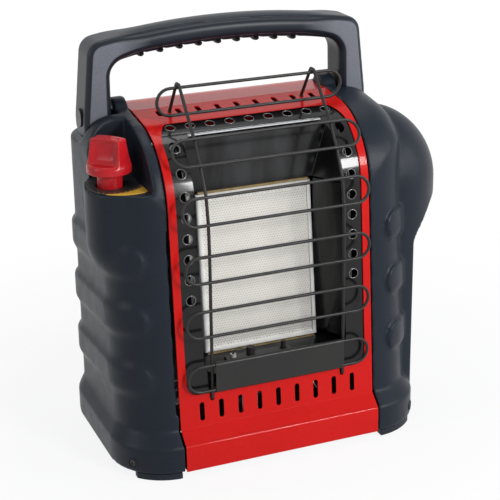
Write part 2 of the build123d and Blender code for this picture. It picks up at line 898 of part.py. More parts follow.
with BuildPart() as tile_gasket:
    opening = (frame_w - 2 * gasket_width - 2 * plate_steel, frame_h - 2 * gasket_width - 2 * plate_steel)
    add(slab(frame_w, frame_h, gasket_back, -tile_thick - fit_gap, opening=opening))
finish(tile_gasket, "tile_gasket")

mixer_face = tile_face.offset(box_front - box_depth / 2)
mixer_top = -frame_h / 2 + mixer_tail
mixer_low = -frame_h / 2 - mixer_length
mouth_top = mixer_low + mouth_length

with BuildPart() as burner_box:
    add(slab(frame_w, frame_h, box_back, box_front))
    add(
        slab(frame_w - 2 * plate_steel, frame_h - 2 * plate_steel, box_back + plate_steel, box_front),
        mode=Mode.SUBTRACT,
    )
    bore_r = mixer_r + fit_gap
    reach = frame_h / 2 + plate_steel
    bore = ((0, -reach), (bore_r, -reach), (bore_r, 3 * plate_steel - reach), (0, 3 * plate_steel - reach))
    add(turned(mixer_face, bore), mode=Mode.SUBTRACT)
finish(burner_box, "burner_box")

with BuildPart() as mixer_tube:
    inner = mixer_r - mixer_wall
    add(
        turned(
            mixer_face,
            (
                (inner, mixer_top),
                (mixer_r, mixer_top),
                (mixer_r, mouth_top),
                (mouth_r, mixer_low),
                (mouth_r - mixer_wall, mixer_low),
                (inner, mouth_top),
            ),
        )
    )
finish(mixer_tube, "mixer_tube")

jet_top = mixer_low - jet_gap
jet_hole_r = 0.8
jet_low = jet_top - jet_length
socket_low = jet_low - fit_gap
holder_top = socket_low + 0.6 * jet_length
holder_low = holder_top - holder_height
with BuildPart() as burner_jet:
    add(
        turned(
            mixer_face,
            (
                (jet_hole_r, jet_low),
                (jet_r, jet_low),
                (jet_r, jet_top - jet_r),
                (jet_r / 2, jet_top),
                (jet_hole_r, jet_top),
            ),
        )
    )
finish(burner_jet, "burner_jet")

holder_point = mixer_face.from_local_coords((0, (holder_top + holder_low) / 2, 0))
holder_y = holder_point.Y
holder_z = holder_point.Z
with BuildPart() as jet_holder:
    middle = (0, (holder_top + holder_low) / 2)
    half = holder_size / 2
    centre = box_front - box_depth / 2
    add(slab(holder_size, holder_height, centre - half, centre + half, middle))
    leg_foot_z = floor_z + sheet + 2 * seam
    add(block((-half, half), (holder_y + half, holder_y + half + saddle_steel), (leg_foot_z, holder_z)))
    add(block((-half, half), (holder_y + half - 1, holder_y + 2 * holder_size), (leg_foot_z, leg_foot_z + sheet)))
    add(block((-half, half), (holder_y, holder_y + half + saddle_steel), (holder_z - 2, holder_z)))
    socket_r = jet_r + fit_gap
    socket = ((0, socket_low), (socket_r, socket_low), (socket_r, holder_top + 1), (0, holder_top + 1))
    add(turned(mixer_face, socket), mode=Mode.SUBTRACT)
finish(jet_holder, "jet_holder")

strip_half = tile_w / 2 + 0.5
strip_thick = 2.0
with BuildPart() as edge_gaskets:
    for end in (-1, 1):
        middle = (0, end * (frame_h / 2 + fit_gap + strip_thick / 2))
        add(slab(2 * strip_half, strip_thick, -gasket_width, plate_steel / 2, middle))
finish(edge_gaskets, "edge_gaskets")

# ---------------------------------------------------------------- heat plates
behind_bezel = sheet + seam + bezel_thick + 2 * seam


def inside_profile(half, inset):
    """Room inside the housing's side outline between two reaches."""
    with BuildPart() as room:
        with BuildSketch(flank(-half)):
            add(side_profile(inset))
        extrude(amount=2 * half)
    return room.part


for name, side in (("left_reflector", -1), ("right_reflector", 1)):
    with BuildPart() as reflector:
        with BuildSketch(level(reflector_low_z)):
            with BuildLine():
                Polyline(
                    (side * reflector_back_half, reflector_back_y),
                    (side * reflector_front_half, reflector_front_y),
                    (side * (reflector_front_half + plate_steel), reflector_front_y),
                    (side * (reflector_back_half + plate_steel), reflector_back_y),
                    close=True,
                )
            make_face()
        extrude(amount=reflector_top_z - reflector_low_z)
        add(inside_profile(chassis_half, behind_bezel), mode=Mode.INTERSECT)
    finish(reflector, name)

with BuildPart() as hood_plate:
    with BuildSketch(flank(-hood_high[0])):
        with BuildLine():
            Polyline(
                hood_low[1:],
                hood_high[1:],
                (hood_high[1] + plate_steel, hood_high[2]),
                (hood_low[1] + plate_steel, hood_low[2]),
                close=True,
            )
        make_face()
    extrude(amount=2 * hood_high[0])
    with BuildSketch(facing(0)):
        with BuildLine():
            Polyline(
                (-hood_low[0], hood_low[2]),
                (hood_low[0], hood_low[2]),
                (hood_high[0], hood_high[2]),
                (-hood_high[0], hood_high[2]),
                close=True,
            )
        make_face()
    extrude(amount=far / 4, mode=Mode.INTERSECT)
    for side in (-1, 1):
        low = Vector(side * hood_low[0] + face_x, hood_low[1], hood_low[2])
        high = Vector(side * hood_high[0] + face_x, hood_high[1], hood_high[2])
        front = Vector(side * hood_side[0] + face_x, hood_side[1], hood_side[2])
        away = (front - low).normalized()
        cheek = Plane(origin=low, x_dir=away, z_dir=away.cross(high - low) * side)
        reach = (front - low).length
        rise = cheek.to_local_coords(high)
        with BuildSketch(cheek):
            with BuildLine():
                Polyline(
                    (-plate_steel, 0),
                    (reach, 0),
                    (reach - 3 * plate_steel, rise.Y),
                    (rise.X - plate_steel, rise.Y),
                    close=True,
                )
            make_face()
        extrude(amount=-plate_steel)
    add(inside_profile(chassis_half - plate_steel - fit_gap, behind_bezel), mode=Mode.INTERSECT)
finish(hood_plate, "hood_plate")

tube_places = ((pilot_x, pilot_y), (probe_x, pilot_y), (electrode_x, pilot_y))
with BuildPart() as lower_tray:
    with BuildSketch(flank(-tray_half)):
        with BuildLine():
            Polyline(
                tray_back,
                tray_front,
                (tray_front[0], tray_front[1] - plate_steel),
                (tray_back[0], tray_back[1] - plate_steel),
                close=True,
            )
        make_face()
    extrude(amount=2 * tray_half)
    with BuildSketch(level(tray_front[1] - far / 8)):
        with Locations(*tube_places):
            Circle(electrode_r + fit_gap)
    extrude(amount=far / 4, mode=Mode.SUBTRACT)
finish(lower_tray, "lower_tray")

under_z = floor_z + sheet + 2 * seam
with BuildPart() as chassis:
    add(block((-chassis_half, chassis_half), (chassis_y, chassis_y + plate_steel), (under_z, chassis_top_z)))
    for side in (-1, 1):
        edges = sorted((side * chassis_half, side * (chassis_half - plate_steel)))
        add(block(edges, (-far / 4, chassis_y), (chassis_wing_z, chassis_top_z)))
    add(inside_profile(chassis_half, behind_bezel), mode=Mode.INTERSECT)
    add(
        block(
            (-chassis_half + 6, chassis_half - 6),
            (chassis_y, chassis_y + 12),
            (under_z, under_z + plate_steel),
        )
    )
finish(chassis, "chassis")

with BuildPart() as box_standoffs:
    for x in (-standoff_x, standoff_x):
        for z in (tile_z - standoff_z, tile_z + standoff_z):
            with BuildSketch(facing(chassis_y - seam)):
                with Locations((x, z)):
                    Circle(standoff_r)
            extrude(amount=far / 8)
    add(slab(far, far, box_back - fit_gap, far / 2), mode=Mode.SUBTRACT)
finish(box_standoffs, "box_standoffs")


# ---------------------------------------------------------------- pilot
def bent_tube(points, radius, bend, bore=0.0):
    """Round tube or wire along corners given from the red panels' centre line."""
    corners = [(x + face_x, y, z) for x, y, z in points]
    with BuildPart() as tube:
        with BuildLine() as path:
            if len(corners) > 2:
                FilletPolyline(*corners, radius=bend)
            else:
                Line(*corners)
        with BuildSketch(Plane(origin=path.line @ 0, z_dir=path.line % 0)):
            Circle(radius)
            if bore:
                Circle(bore, mode=Mode.SUBTRACT)
        sweep(path=path.line)
    return tube.part


tray_fall = (tray_back[1] - tray_front[1]) / (tray_back[0] - tray_front[0])
tray_top_z = tray_back[1] - tray_fall * (tray_back[0] - pilot_y - 5)
pilot_foot_z = tray_top_z + fit_gap
with BuildPart() as pilot_bracket:
    add(
        block(
            (electrode_x - 7, probe_x + 7),
            (pilot_y - 6, pilot_y + 5),
            (pilot_foot_z, pilot_foot_z + plate_steel),
        )
    )
    with BuildSketch(level(0)):
        with Locations(*tube_places):
            Circle(electrode_r + fit_gap)
    extrude(amount=far / 2, mode=Mode.SUBTRACT)
finish(pilot_bracket, "pilot_bracket")

with BuildPart() as pilot_burner:
    add(upright_bore(pilot_x, pilot_y, pilot_foot_z + plate_steel + fit_gap, pilot_top_z, pilot_r))
    port = block((pilot_x - 2, pilot_x + 2), (pilot_y, pilot_y + 9), (pilot_top_z - 5, pilot_top_z - 1))
    add(port, mode=Mode.SUBTRACT)
finish(pilot_burner, "pilot_burner")

with BuildPart() as thermocouple:
    add(upright_bore(probe_x, pilot_y, pilot_foot_z - 6, pilot_top_z, probe_r))
finish(thermocouple, "thermocouple")

with BuildPart() as electrode_insulator:
    add(upright_bore(electrode_x, pilot_y, pilot_foot_z - 6, pilot_top_z - 4, electrode_r))
    add(upright_bore(electrode_x, pilot_y, pilot_foot_z - 8, pilot_top_z, lead_r + seam), mode=Mode.SUBTRACT)
finish(electrode_insulator, "electrode_insulator")

with BuildPart() as spark_electrode:
    tip = (pilot_x - pilot_r - 3, pilot_y, pilot_top_z - 1)
    add(bent_tube(((electrode_x, pilot_y, pilot_foot_z - 4), (electrode_x, pilot_y, tip[2]), tip), lead_r, 3))
finish(spark_electrode, "spark_electrode")

# ---------------------------------------------------------------- knob and valve
niche_floor_z = lip_z - lip_drop
valve_top_z = valve_z + valve_h
neck_low_z = niche_floor_z - knob_tail
collar_top_z = neck_low_z - fit_gap
collar_low_z = collar_top_z - collar_h
stem_top_z = niche_floor_z + 8
stem_low_z = valve_top_z - 20

with BuildPart() as dial_plate:
    with BuildSketch(level(niche_floor_z + seam)):
        with Locations((pod_x, pod_y)):
            Circle(niche_r - 1)
        with Locations((niche_wall_x - 2 * fit_gap - far, 0)):
            Rectangle(2 * far, far, mode=Mode.INTERSECT)
        with Locations((knob_x, knob_y)):
            Circle(knob_neck_r + 1.5, mode=Mode.SUBTRACT)
    extrude(amount=dial_thick)
finish(dial_plate, "dial_plate")

grip_length = 33.0
grip_thick = 19.0
grip_taper = 2.0
grip_round = 4.0
grip_turn = -55.0            # the knob points this way when the gas is off
flange_top_z = knob_flange_z + knob_flange_h
with BuildPart() as knob:
    add(upright_bore(knob_x, knob_y, neck_low_z, flange_top_z, knob_neck_r))
    add(upright_bore(knob_x, knob_y, knob_flange_z, flange_top_z, knob_flange_r))
    fillet(knob.faces().sort_by(Axis.Z)[-1].edges(), 2.4)
    with BuildSketch(level(flange_top_z - 2)):
        with Locations((knob_x, knob_y)):
            RectangleRounded(grip_length, grip_thick, grip_round, rotation=grip_turn)
    crest = (grip_length - 2 * grip_taper, grip_thick - 2 * grip_taper)
    with BuildSketch(level(knob_top_z)):
        with Locations((knob_x, knob_y)):
            RectangleRounded(*crest, grip_round, rotation=grip_turn)
    loft()
    add(upright_bore(knob_x, knob_y, neck_low_z, stem_top_z + fit_gap, stem_r + 0.1), mode=Mode.SUBTRACT)
finish(knob, "knob")

with BuildPart() as valve_stem:
    add(upright_bore(knob_x, knob_y, stem_low_z, stem_top_z, stem_r))
finish(valve_stem, "valve_stem")

with BuildPart() as push_collar:
    add(upright_bore(knob_x, knob_y, collar_low_z, collar_top_z, collar_r))
    add(
        block(
            (knob_x, igniter_x + igniter_r),
            (knob_y - plunger_r, knob_y + plunger_r),
            (collar_low_z, collar_low_z + collar_h / 2),
        )
    )
    add(upright_bore(knob_x, knob_y, collar_low_z, collar_top_z, stem_r + running_gap), mode=Mode.SUBTRACT)
finish(push_collar, "push_collar")

spring_low_z = valve_top_z + fit_gap
spring_high_z = collar_low_z - fit_gap


def coil(centre, direction, length, radius, wire, turns):
    """Helical spring along a direction from the middle of its lower end."""
    height = length - wire
    rise = Vector(*direction)
    start = Vector(*centre) + rise * (wire / 2)
    with BuildPart() as spring:
        with BuildLine() as path:
            Helix(pitch=height / turns, height=height, radius=radius, center=start, direction=rise)
        with BuildSketch(Plane(origin=path.line @ 0, z_dir=path.line % 0)):
            Circle(wire / 2)
        sweep(path=path.line, is_frenet=True)
    return spring.part


with BuildPart() as valve_spring:
    foot = (face_x + knob_x, knob_y, spring_low_z)
    add(coil(foot, (0, 0, 1), spring_high_z - spring_low_z, spring_r, spring_wire, spring_turns))
finish(valve_spring, "valve_spring")

with BuildPart() as gas_valve:
    add(upright_bore(knob_x, knob_y, valve_z, valve_top_z, valve_r))
    with BuildSketch(facing(knob_y)):
        with Locations((knob_x, port_z)):
            Circle(port_r)
    extrude(amount=-(saddle_half - saddle_steel - fit_gap))
    low = stem_low_z - knob_travel - 2
    add(upright_bore(knob_x, knob_y, low, valve_top_z, stem_r + slide_gap), mode=Mode.SUBTRACT)
finish(gas_valve, "gas_valve")

saddle_x = (knob_x - 4, knob_x + 18)
saddle_top_z = niche_floor_z - shell - seam
saddle_low_z = valve_z - fit_gap - saddle_steel
with BuildPart() as valve_saddle:
    add(
        block(
            (saddle_x[0], igniter_x + igniter_r + 1),
            (knob_y - saddle_half, knob_y + saddle_half),
            (saddle_low_z, saddle_low_z + saddle_steel),
        )
    )
    for side in (-1, 1):
        outer = knob_y + side * saddle_half
        leg = sorted((outer, outer - side * saddle_steel))
        flange = sorted((outer - side * saddle_steel, outer + side * 6))
        add(block(saddle_x, leg, (saddle_low_z, saddle_top_z)))
        add(block(saddle_x, flange, (saddle_top_z - saddle_steel, saddle_top_z)))
    with BuildSketch(facing(0)):
        with Locations((knob_x, port_z)):
            Circle(port_r)
    extrude(amount=-knob_y + 4, mode=Mode.SUBTRACT)
    for x, y, radius in (
        (knob_x, knob_y, tube_r),
        (knob_x + pilot_side, knob_y - pilot_side, fine_tube_r),
        (knob_x + pilot_side, knob_y + pilot_side, lead_r),
        (igniter_x, knob_y, lead_r),
    ):
        add(upright_bore(x, y, saddle_low_z - 1, valve_z, radius + fit_gap), mode=Mode.SUBTRACT)
finish(valve_saddle, "valve_saddle")

with BuildPart() as igniter:
    add(upright_bore(igniter_x, knob_y, valve_z, igniter_top_z, igniter_r))
    low = igniter_top_z - 22
    add(upright_bore(igniter_x, knob_y, low, igniter_top_z, plunger_r + slide_gap), mode=Mode.SUBTRACT)
finish(igniter, "igniter")

with BuildPart() as igniter_plunger:
    add(upright_bore(igniter_x, knob_y, igniter_top_z - 22 + knob_travel + 2, collar_low_z - fit_gap, plunger_r))
finish(igniter_plunger, "igniter_plunger")

port_low_z = valve_z - seam
with BuildPart() as burner_pipe:
    add(
        bent_tube(
            (
                (knob_x, knob_y, port_low_z),
                (knob_x, knob_y, holder_z),
                (-holder_size / 2 - fit_gap, holder_y, holder_z),
            ),
            tube_r,
            tube_bend,
        )
    )
finish(burner_pipe, "burner_pipe")

with BuildPart() as pilot_tube:
    x = knob_x + pilot_side
    y = knob_y - pilot_side
    z = 70.0
    end = pilot_foot_z + plate_steel + fit_gap / 2
    route = ((x, y, port_low_z), (x, y, z), (x, pilot_y, z), (pilot_x, pilot_y, z), (pilot_x, pilot_y, end))
    add(bent_tube(route, fine_tube_r, 8))
finish(pilot_tube, "pilot_tube")

with BuildPart() as thermocouple_lead:
    y = knob_y + pilot_side
    z = 60.0
    end = pilot_foot_z - 6 - seam
    route = ((x, y, port_low_z), (x, y, z), (x, pilot_y, z), (probe_x, pilot_y, z), (probe_x, pilot_y, end))
    add(bent_tube(route, lead_r, 8))
finish(thermocouple_lead, "thermocouple_lead")

with BuildPart() as igniter_lead:
    z = 78.0
    x = igniter_x
    y = knob_y
    end = pilot_foot_z - 4 - seam
    foot = (electrode_x, pilot_y, z)
    route = ((x, y, port_low_z), (x, y, z), (x, pilot_y, z), foot, (electrode_x, pilot_y, end))
    add(bent_tube(route, lead_r, 3))
finish(igniter_lead, "igniter_lead")

# ---------------------------------------------------------------- regulator and supply
reg_front = -reg_depth / 2
reg_back = reg_depth / 2
reg_seat = reg_front + reg_cover_depth + fit_gap
reg_face = Plane(origin=(face_x + dome_x, 0, reg_z), x_dir=(1, 0, 0), z_dir=(0, 0, 1))
bore_start = reg_back - 5
bore_end = reg_back + reg_boss_depth
pipe_start = bore_start + 1

with BuildPart() as regulator_body:
    add(
        turned(
            reg_face,
            (
                (0, reg_seat),
                (reg_r, reg_seat),
                (reg_r, reg_back - 3),
                (reg_r - 3, reg_back),
                (reg_boss_r, reg_back),
                (reg_boss_r, bore_end),
                (0, bore_end),
            ),
        )
    )
    add(upright_bore(dome_x, 0, reg_z - reg_r - 1.5, reg_z - reg_r / 2, throat_r))
    add(upright_bore(dome_x, 0, inlet_z, reg_z - reg_r - 1, inlet_r))
    recess = diaphragm_thick + fit_gap
    add(
        turned(
            reg_face,
            (
                (0, reg_seat),
                (diaphragm_r + fit_gap, reg_seat),
                (diaphragm_r + fit_gap, reg_seat + recess),
                (chamber_r, reg_seat + recess),
                (chamber_r, reg_seat + 9),
                (0, reg_seat + 9),
            ),
        ),
        mode=Mode.SUBTRACT,
    )
    bore_r = pipe_r + running_gap
    add(
        turned(reg_face, ((0, bore_start), (bore_r, bore_start), (bore_r, bore_end + 1), (0, bore_end + 1))),
        mode=Mode.SUBTRACT,
    )
    bush_r = inlet_bush_r + fit_gap / 2
    add(upright_bore(dome_x, 0, inlet_z - 1, inlet_z + bush_length + fit_gap, bush_r), mode=Mode.SUBTRACT)
finish(regulator_body, "regulator_body")

cap_front = reg_front - reg_cap_depth
with BuildPart() as regulator_cover:
    add(
        turned(
            reg_face,
            (
                (0, cap_front),
                (reg_cap_r - 1.5, cap_front),
                (reg_cap_r, cap_front + 1.5),
                (reg_cap_r, reg_front),
                (reg_r - 1.5, reg_front),
                (reg_r, reg_front + 1.5),
                (reg_r, reg_seat - fit_gap),
                (reg_cap_r - 2, reg_seat - fit_gap),
                (reg_cap_r - 2, cap_front + 2),
                (0, cap_front + 2),
            ),
        )
    )
finish(regulator_cover, "regulator_cover")

with BuildPart() as diaphragm:
    face = reg_seat + fit_gap / 2
    thick = diaphragm_thick
    add(turned(reg_face, ((0, face), (diaphragm_r, face), (diaphragm_r, face + thick), (0, face + thick))))
finish(diaphragm, "diaphragm")

with BuildPart() as regulator_spring:
    low = cap_front + 2 + fit_gap
    high = reg_seat - fit_gap / 2
    add(coil((face_x + dome_x, low, reg_z), (0, 1, 0), high - low, 5.5, 1.2, 4))
finish(regulator_spring, "regulator_spring")

seal_z = inlet_z + thread_length
with BuildPart() as inlet_bush:
    add(upright_bore(dome_x, 0, inlet_z, inlet_z + bush_length, inlet_bush_r))
    add(upright_bore(dome_x, 0, inlet_z - 1, seal_z, thread_r), mode=Mode.SUBTRACT)
    add(upright_bore(dome_x, 0, seal_z - 1, seal_z + seal_thick + fit_gap, seal_r + fit_gap / 2), mode=Mode.SUBTRACT)
    add(upright_bore(dome_x, 0, inlet_z, inlet_z + bush_length + 1, seal_r / 2), mode=Mode.SUBTRACT)
finish(inlet_bush, "inlet_bush")

with BuildPart() as inlet_seal:
    seal_low = seal_z + fit_gap / 2
    add(upright_bore(dome_x, 0, seal_low, seal_low + seal_thick, seal_r))
    add(upright_bore(dome_x, 0, seal_z - 1, seal_z + 2 * seal_thick, seal_r / 2), mode=Mode.SUBTRACT)
finish(inlet_seal, "inlet_seal")

pipe_end_x = 68.0
pipe_bore = tube_r + fit_gap
with BuildPart() as supply_elbow:
    points = ((dome_x, pipe_start, reg_z), (dome_x, pipe_y, reg_z), (pipe_end_x, pipe_y, reg_z))
    add(bent_tube(points, pipe_r, pipe_bend, pipe_bore))
finish(supply_elbow, "supply_elbow")

nut_r = 10.0
nut_x = (74.0, 81.0)
with BuildPart() as pipe_nut:
    with BuildSketch(flank(nut_x[0])):
        with Locations((pipe_y, reg_z)):
            RegularPolygon(nut_r, 6, major_radius=False)
    extrude(amount=nut_x[1] - nut_x[0])
    add(cross_bore(0, far, pipe_y, reg_z, pipe_r + 0.1), mode=Mode.SUBTRACT)
finish(pipe_nut, "pipe_nut")

with BuildPart() as gas_tube:
    port_y = knob_y + saddle_half - saddle_steel
    add(
        bent_tube(
            (
                (pipe_end_x + 10, pipe_y, reg_z),
                (knob_x, pipe_y, reg_z),
                (knob_x, pipe_y, port_z),
                (knob_x, port_y, port_z),
            ),
            tube_r,
            tube_bend,
        )
    )
finish(gas_tube, "gas_tube")

# ---------------------------------------------------------------- tip switch
with BuildPart() as tip_switch_frame:
    front = tip_y - tip_reach + 2
    back = tip_y + tip_reach - 2
    add(block((tip_x - tip_half, tip_x + tip_half), (front, back), (under_z, under_z + tip_wall)))
    for side in (-1, 1):
        edges = sorted((tip_x + side * tip_half, tip_x + side * (tip_half - tip_wall)))
        add(block(edges, (front + 8, back - 8), (under_z, tip_z + 5)))
    add(cross_bore(tip_x - far / 8, tip_x + far / 8, tip_y, tip_z, tip_pin_r + seam / 2), mode=Mode.SUBTRACT)
finish(tip_switch_frame, "tip_switch_frame")

with BuildPart() as tip_pin:
    add(cross_bore(tip_x - tip_half - 1, tip_x + tip_half + 1, tip_y, tip_z, tip_pin_r))
finish(tip_pin, "tip_pin")

with BuildPart() as tip_pendulum:
    add(cross_bore(tip_x - 4, tip_x + 4, tip_y, tip_z, 3.5))
    add(upright_bore(tip_x, tip_y, tip_z - tip_reach, tip_z - 2, 1.5))
    with Locations((face_x + tip_x, tip_y, tip_z - tip_reach)):
        Sphere(tip_bob_r)
    add(cross_bore(tip_x - 5, tip_x + 5, tip_y, tip_z, tip_pin_r + running_gap), mode=Mode.SUBTRACT)
finish(tip_pendulum, "tip_pendulum")


# ---------------------------------------------------------------- carrying handle
def hand_outline():
    """Front view of the handle."""
    shoulder = grip_top_z - grip_rise
    reach = leg_outer - hand_taper
    low_z = pivot_z - leg_depth / 2
    under = shoulder - grip_height + 4
    inner = leg_inner - 1
    with BuildSketch() as outline:
        with BuildLine():
            crest = ThreePointArc((-reach, shoulder), (0, grip_top_z), (reach, shoulder))
            right = Polyline(crest @ 1, (leg_outer, pivot_z), (leg_outer, low_z), (leg_inner, low_z), (inner, under))
            arch = ThreePointArc(right @ 1, (0, grip_top_z - grip_height), (-inner, under))
            Polyline(arch @ 1, (-leg_inner, low_z), (-leg_outer, low_z), (-leg_outer, pivot_z), crest @ 0)
        make_face()
        fillet(outline.vertices().filter_by_position(Axis.Y, pivot_z + 5, grip_top_z), hand_corner)
        fillet(outline.vertices().filter_by_position(Axis.Y, pivot_z - 1, pivot_z + 1), 2 * hand_corner)
    return outline.sketch


def hand_body(front, back, face):
    """One half of the handle between two depths, its edges broken on one face."""
    with BuildPart() as body:
        with BuildSketch(facing(back)):
            add(hand_outline())
        extrude(amount=back - front)
        skin = body.faces().sort_by(Axis.Y)[face].edges()
        low_z = pivot_z - leg_depth / 2
        inside = skin.filter_by(
            lambda edge: abs(edge.center().X - face_x) < leg_inner + 1
            and low_z + 1 < edge.center().Z < grip_top_z - grip_height + 1
        )
        fillet(inside, hand_soft)
        skin = body.faces().sort_by(Axis.Y)[face].edges()
        rest = skin.filter_by(
            lambda edge: abs(edge.center().X - face_x) > leg_outer - hand_taper - hand_corner
            or edge.center().Z > grip_top_z - grip_height / 2
        )
        chamfer(rest.filter_by(lambda edge: edge.center().Z > low_z + 1), hand_chamfer)
    return body.part


def hand_side():
    """Side view of the legs: rounded about the pivot, straight above."""
    with BuildPart() as room:
        with BuildSketch(flank(-far / 2)):
            with Locations((pivot_y, pivot_z)):
                Circle(leg_depth / 2)
            with Locations((pivot_y, pivot_z + far / 4)):
                Rectangle(leg_depth, far / 2)
        extrude(amount=far)
    return room.part


nub_length = 24.0


def nubs(grow):
    """Row of soft ribs under the grip."""
    rise = grip_rise - 4
    with BuildPart() as row:
        with BuildSketch(facing(pivot_y + nub_length / 2 + grow)):
            for index in range(nub_count):
                x = (index - (nub_count - 1) / 2) * nub_pitch + nub_shift
                under_z = grip_top_z - grip_height - rise * (x / leg_inner) ** 2
                with Locations((x, under_z + nub_r - nub_drop)):
                    Circle(nub_r + grow)
        extrude(amount=nub_length + 2 * grow)
    return row.part


hand_front = pivot_y - leg_depth / 2
hand_back = pivot_y + leg_depth / 2
for name, front, back, face in (
    ("handle_front", hand_front, pivot_y - hand_split / 2, 0),
    ("handle_back", pivot_y + hand_split / 2, hand_back, -1),
):
    with BuildPart() as half_handle:
        add(hand_body(front, back, face))
        add(hand_side(), mode=Mode.INTERSECT)
        for side in (-1, 1):
            add(pivot_hole(side, seam / 2), mode=Mode.SUBTRACT)
        add(nubs(seam / 2), mode=Mode.SUBTRACT)
    finish(half_handle, name)

with BuildPart() as handle_nubs:
    add(nubs(0))
finish(handle_nubs, "handle_nubs")

with BuildPart() as handle_pins:
    for side in (-1, 1):
        inner = side * (ear_inner + 1)
        outer = side * (leg_outer + seam)
        head = side * (leg_outer + seam + cap_thick)
        add(cross_bore(min(inner, outer), max(inner, outer), pivot_y, pivot_z, pin_r - running_gap))
        add(cross_bore(min(outer, head), max(outer, head), pivot_y, pivot_z, cap_r))
finish(handle_pins, "handle_pins")
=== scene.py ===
import bpy
import bmesh
import json
from math import sin, cos, pi, radians
from mathutils import Matrix, Vector
from mathutils.bvhtree import BVHTree


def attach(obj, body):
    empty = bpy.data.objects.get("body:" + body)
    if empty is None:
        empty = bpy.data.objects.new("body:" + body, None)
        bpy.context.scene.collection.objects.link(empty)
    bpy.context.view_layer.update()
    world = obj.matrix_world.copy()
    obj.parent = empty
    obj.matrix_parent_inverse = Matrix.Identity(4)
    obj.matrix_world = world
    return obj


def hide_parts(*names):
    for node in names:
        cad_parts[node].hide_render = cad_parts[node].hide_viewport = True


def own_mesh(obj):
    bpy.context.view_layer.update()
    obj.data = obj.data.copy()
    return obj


# Looks of a portable radiant propane heater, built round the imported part. Metres, same frame as the part.

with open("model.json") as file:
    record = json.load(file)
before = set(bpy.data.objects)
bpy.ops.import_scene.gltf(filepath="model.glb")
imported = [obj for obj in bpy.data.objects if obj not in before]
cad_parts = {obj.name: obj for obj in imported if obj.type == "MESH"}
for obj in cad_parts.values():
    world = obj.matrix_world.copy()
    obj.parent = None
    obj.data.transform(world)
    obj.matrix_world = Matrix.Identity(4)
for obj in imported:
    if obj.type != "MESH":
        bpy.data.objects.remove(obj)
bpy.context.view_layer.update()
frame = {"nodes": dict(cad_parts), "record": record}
mm = 0.001
faceX = -19.25 * mm      # middle of the red panels
bpy.ops.object.select_all(action='DESELECT')
print("frame loaded,", len(frame["nodes"]), "nodes")


# camera, lamps, world and floor

def setCamera():
    view = {
        "place": (-0.47651, -1.15273, 0.64364),
        "right": (0.92518, -0.37928, -0.01396),
        "up": (0.14806, 0.32679, 0.93343),
        "back": (-0.34947, -0.86565, 0.35850),
        "lens": 103.23,
    }
    bpy.ops.object.camera_add()
    camera = bpy.context.object
    camera.name = "camera"
    camera.data.sensor_width = 36
    camera.data.lens = view["lens"]
    turn = Matrix((view["right"], view["up"], view["back"])).transposed()
    camera.matrix_world = Matrix.Translation(view["place"]) @ turn.to_4x4()
    bpy.context.scene.camera = camera


def addLamp(name, place, aim, size, power):
    bpy.ops.object.light_add(type='AREA', location=place)
    lamp = bpy.context.object
    lamp.name = name
    lamp.data.shape = 'RECTANGLE'
    lamp.data.size, lamp.data.size_y = size
    lamp.data.energy = power
    lamp.rotation_euler = (Vector(aim) - Vector(place)).to_track_quat('-Z', 'Y').to_euler()


def setLights():
    # place, size and power of each; all of them aim at the middle of the heater
    middle = (0, 0, 0.2)
    lamps = {
        "keySoftbox": ((0.60, -1.40, 0.84), (0.38, 0.30), 17.0),
        "leftStrip": ((-1.3, -0.1, 0.75), (0.12, 0.9), 3.2),
        "rightSoftbox": ((1.2, -0.75, 0.7), (0.2, 0.8), 5.5),
        "topSoftbox": ((0.05, 0.3, 1.4), (0.9, 0.4), 4.0),
    }
    for name, (place, size, power) in lamps.items():
        addLamp(name, place, middle, size, power)


def seenRays(tree):
    # rays from the camera, from mirrors and through glass see plain white paper
    path = tree.nodes.new('ShaderNodeLightPath')
    both = tree.nodes.new('ShaderNodeMath')
    both.operation = 'ADD'
    tree.links.new(path.outputs['Is Camera Ray'], both.inputs[0])
    tree.links.new(path.outputs['Is Glossy Ray'], both.inputs[1])
    three = tree.nodes.new('ShaderNodeMath')
    three.operation = 'ADD'
    three.use_clamp = True
    tree.links.new(both.outputs[0], three.inputs[0])
    tree.links.new(path.outputs['Is Transmission Ray'], three.inputs[1])
    return three.outputs[0]


def setWorld():
    sky = {"ambient": 0.2, "tint": (0.86, 0.93, 1.0, 1), "seen": 1.0}
    world = bpy.data.worlds.new("studio")
    bpy.context.scene.world = world
    world.use_nodes = True
    tree = world.node_tree
    tree.nodes.clear()
    out = tree.nodes.new('ShaderNodeOutputWorld')
    mix = tree.nodes.new('ShaderNodeMixShader')
    soft = tree.nodes.new('ShaderNodeBackground')
    soft.inputs['Color'].default_value = sky["tint"]
    soft.inputs['Strength'].default_value = sky["ambient"]
    white = tree.nodes.new('ShaderNodeBackground')
    white.inputs['Color'].default_value = (1, 1, 1, 1)
    white.inputs['Strength'].default_value = sky["seen"]
    tree.links.new(seenRays(tree), mix.inputs['Fac'])
    tree.links.new(soft.outputs[0], mix.inputs[1])
    tree.links.new(white.outputs[0], mix.inputs[2])
    tree.links.new(mix.outputs[0], out.inputs['Surface'])


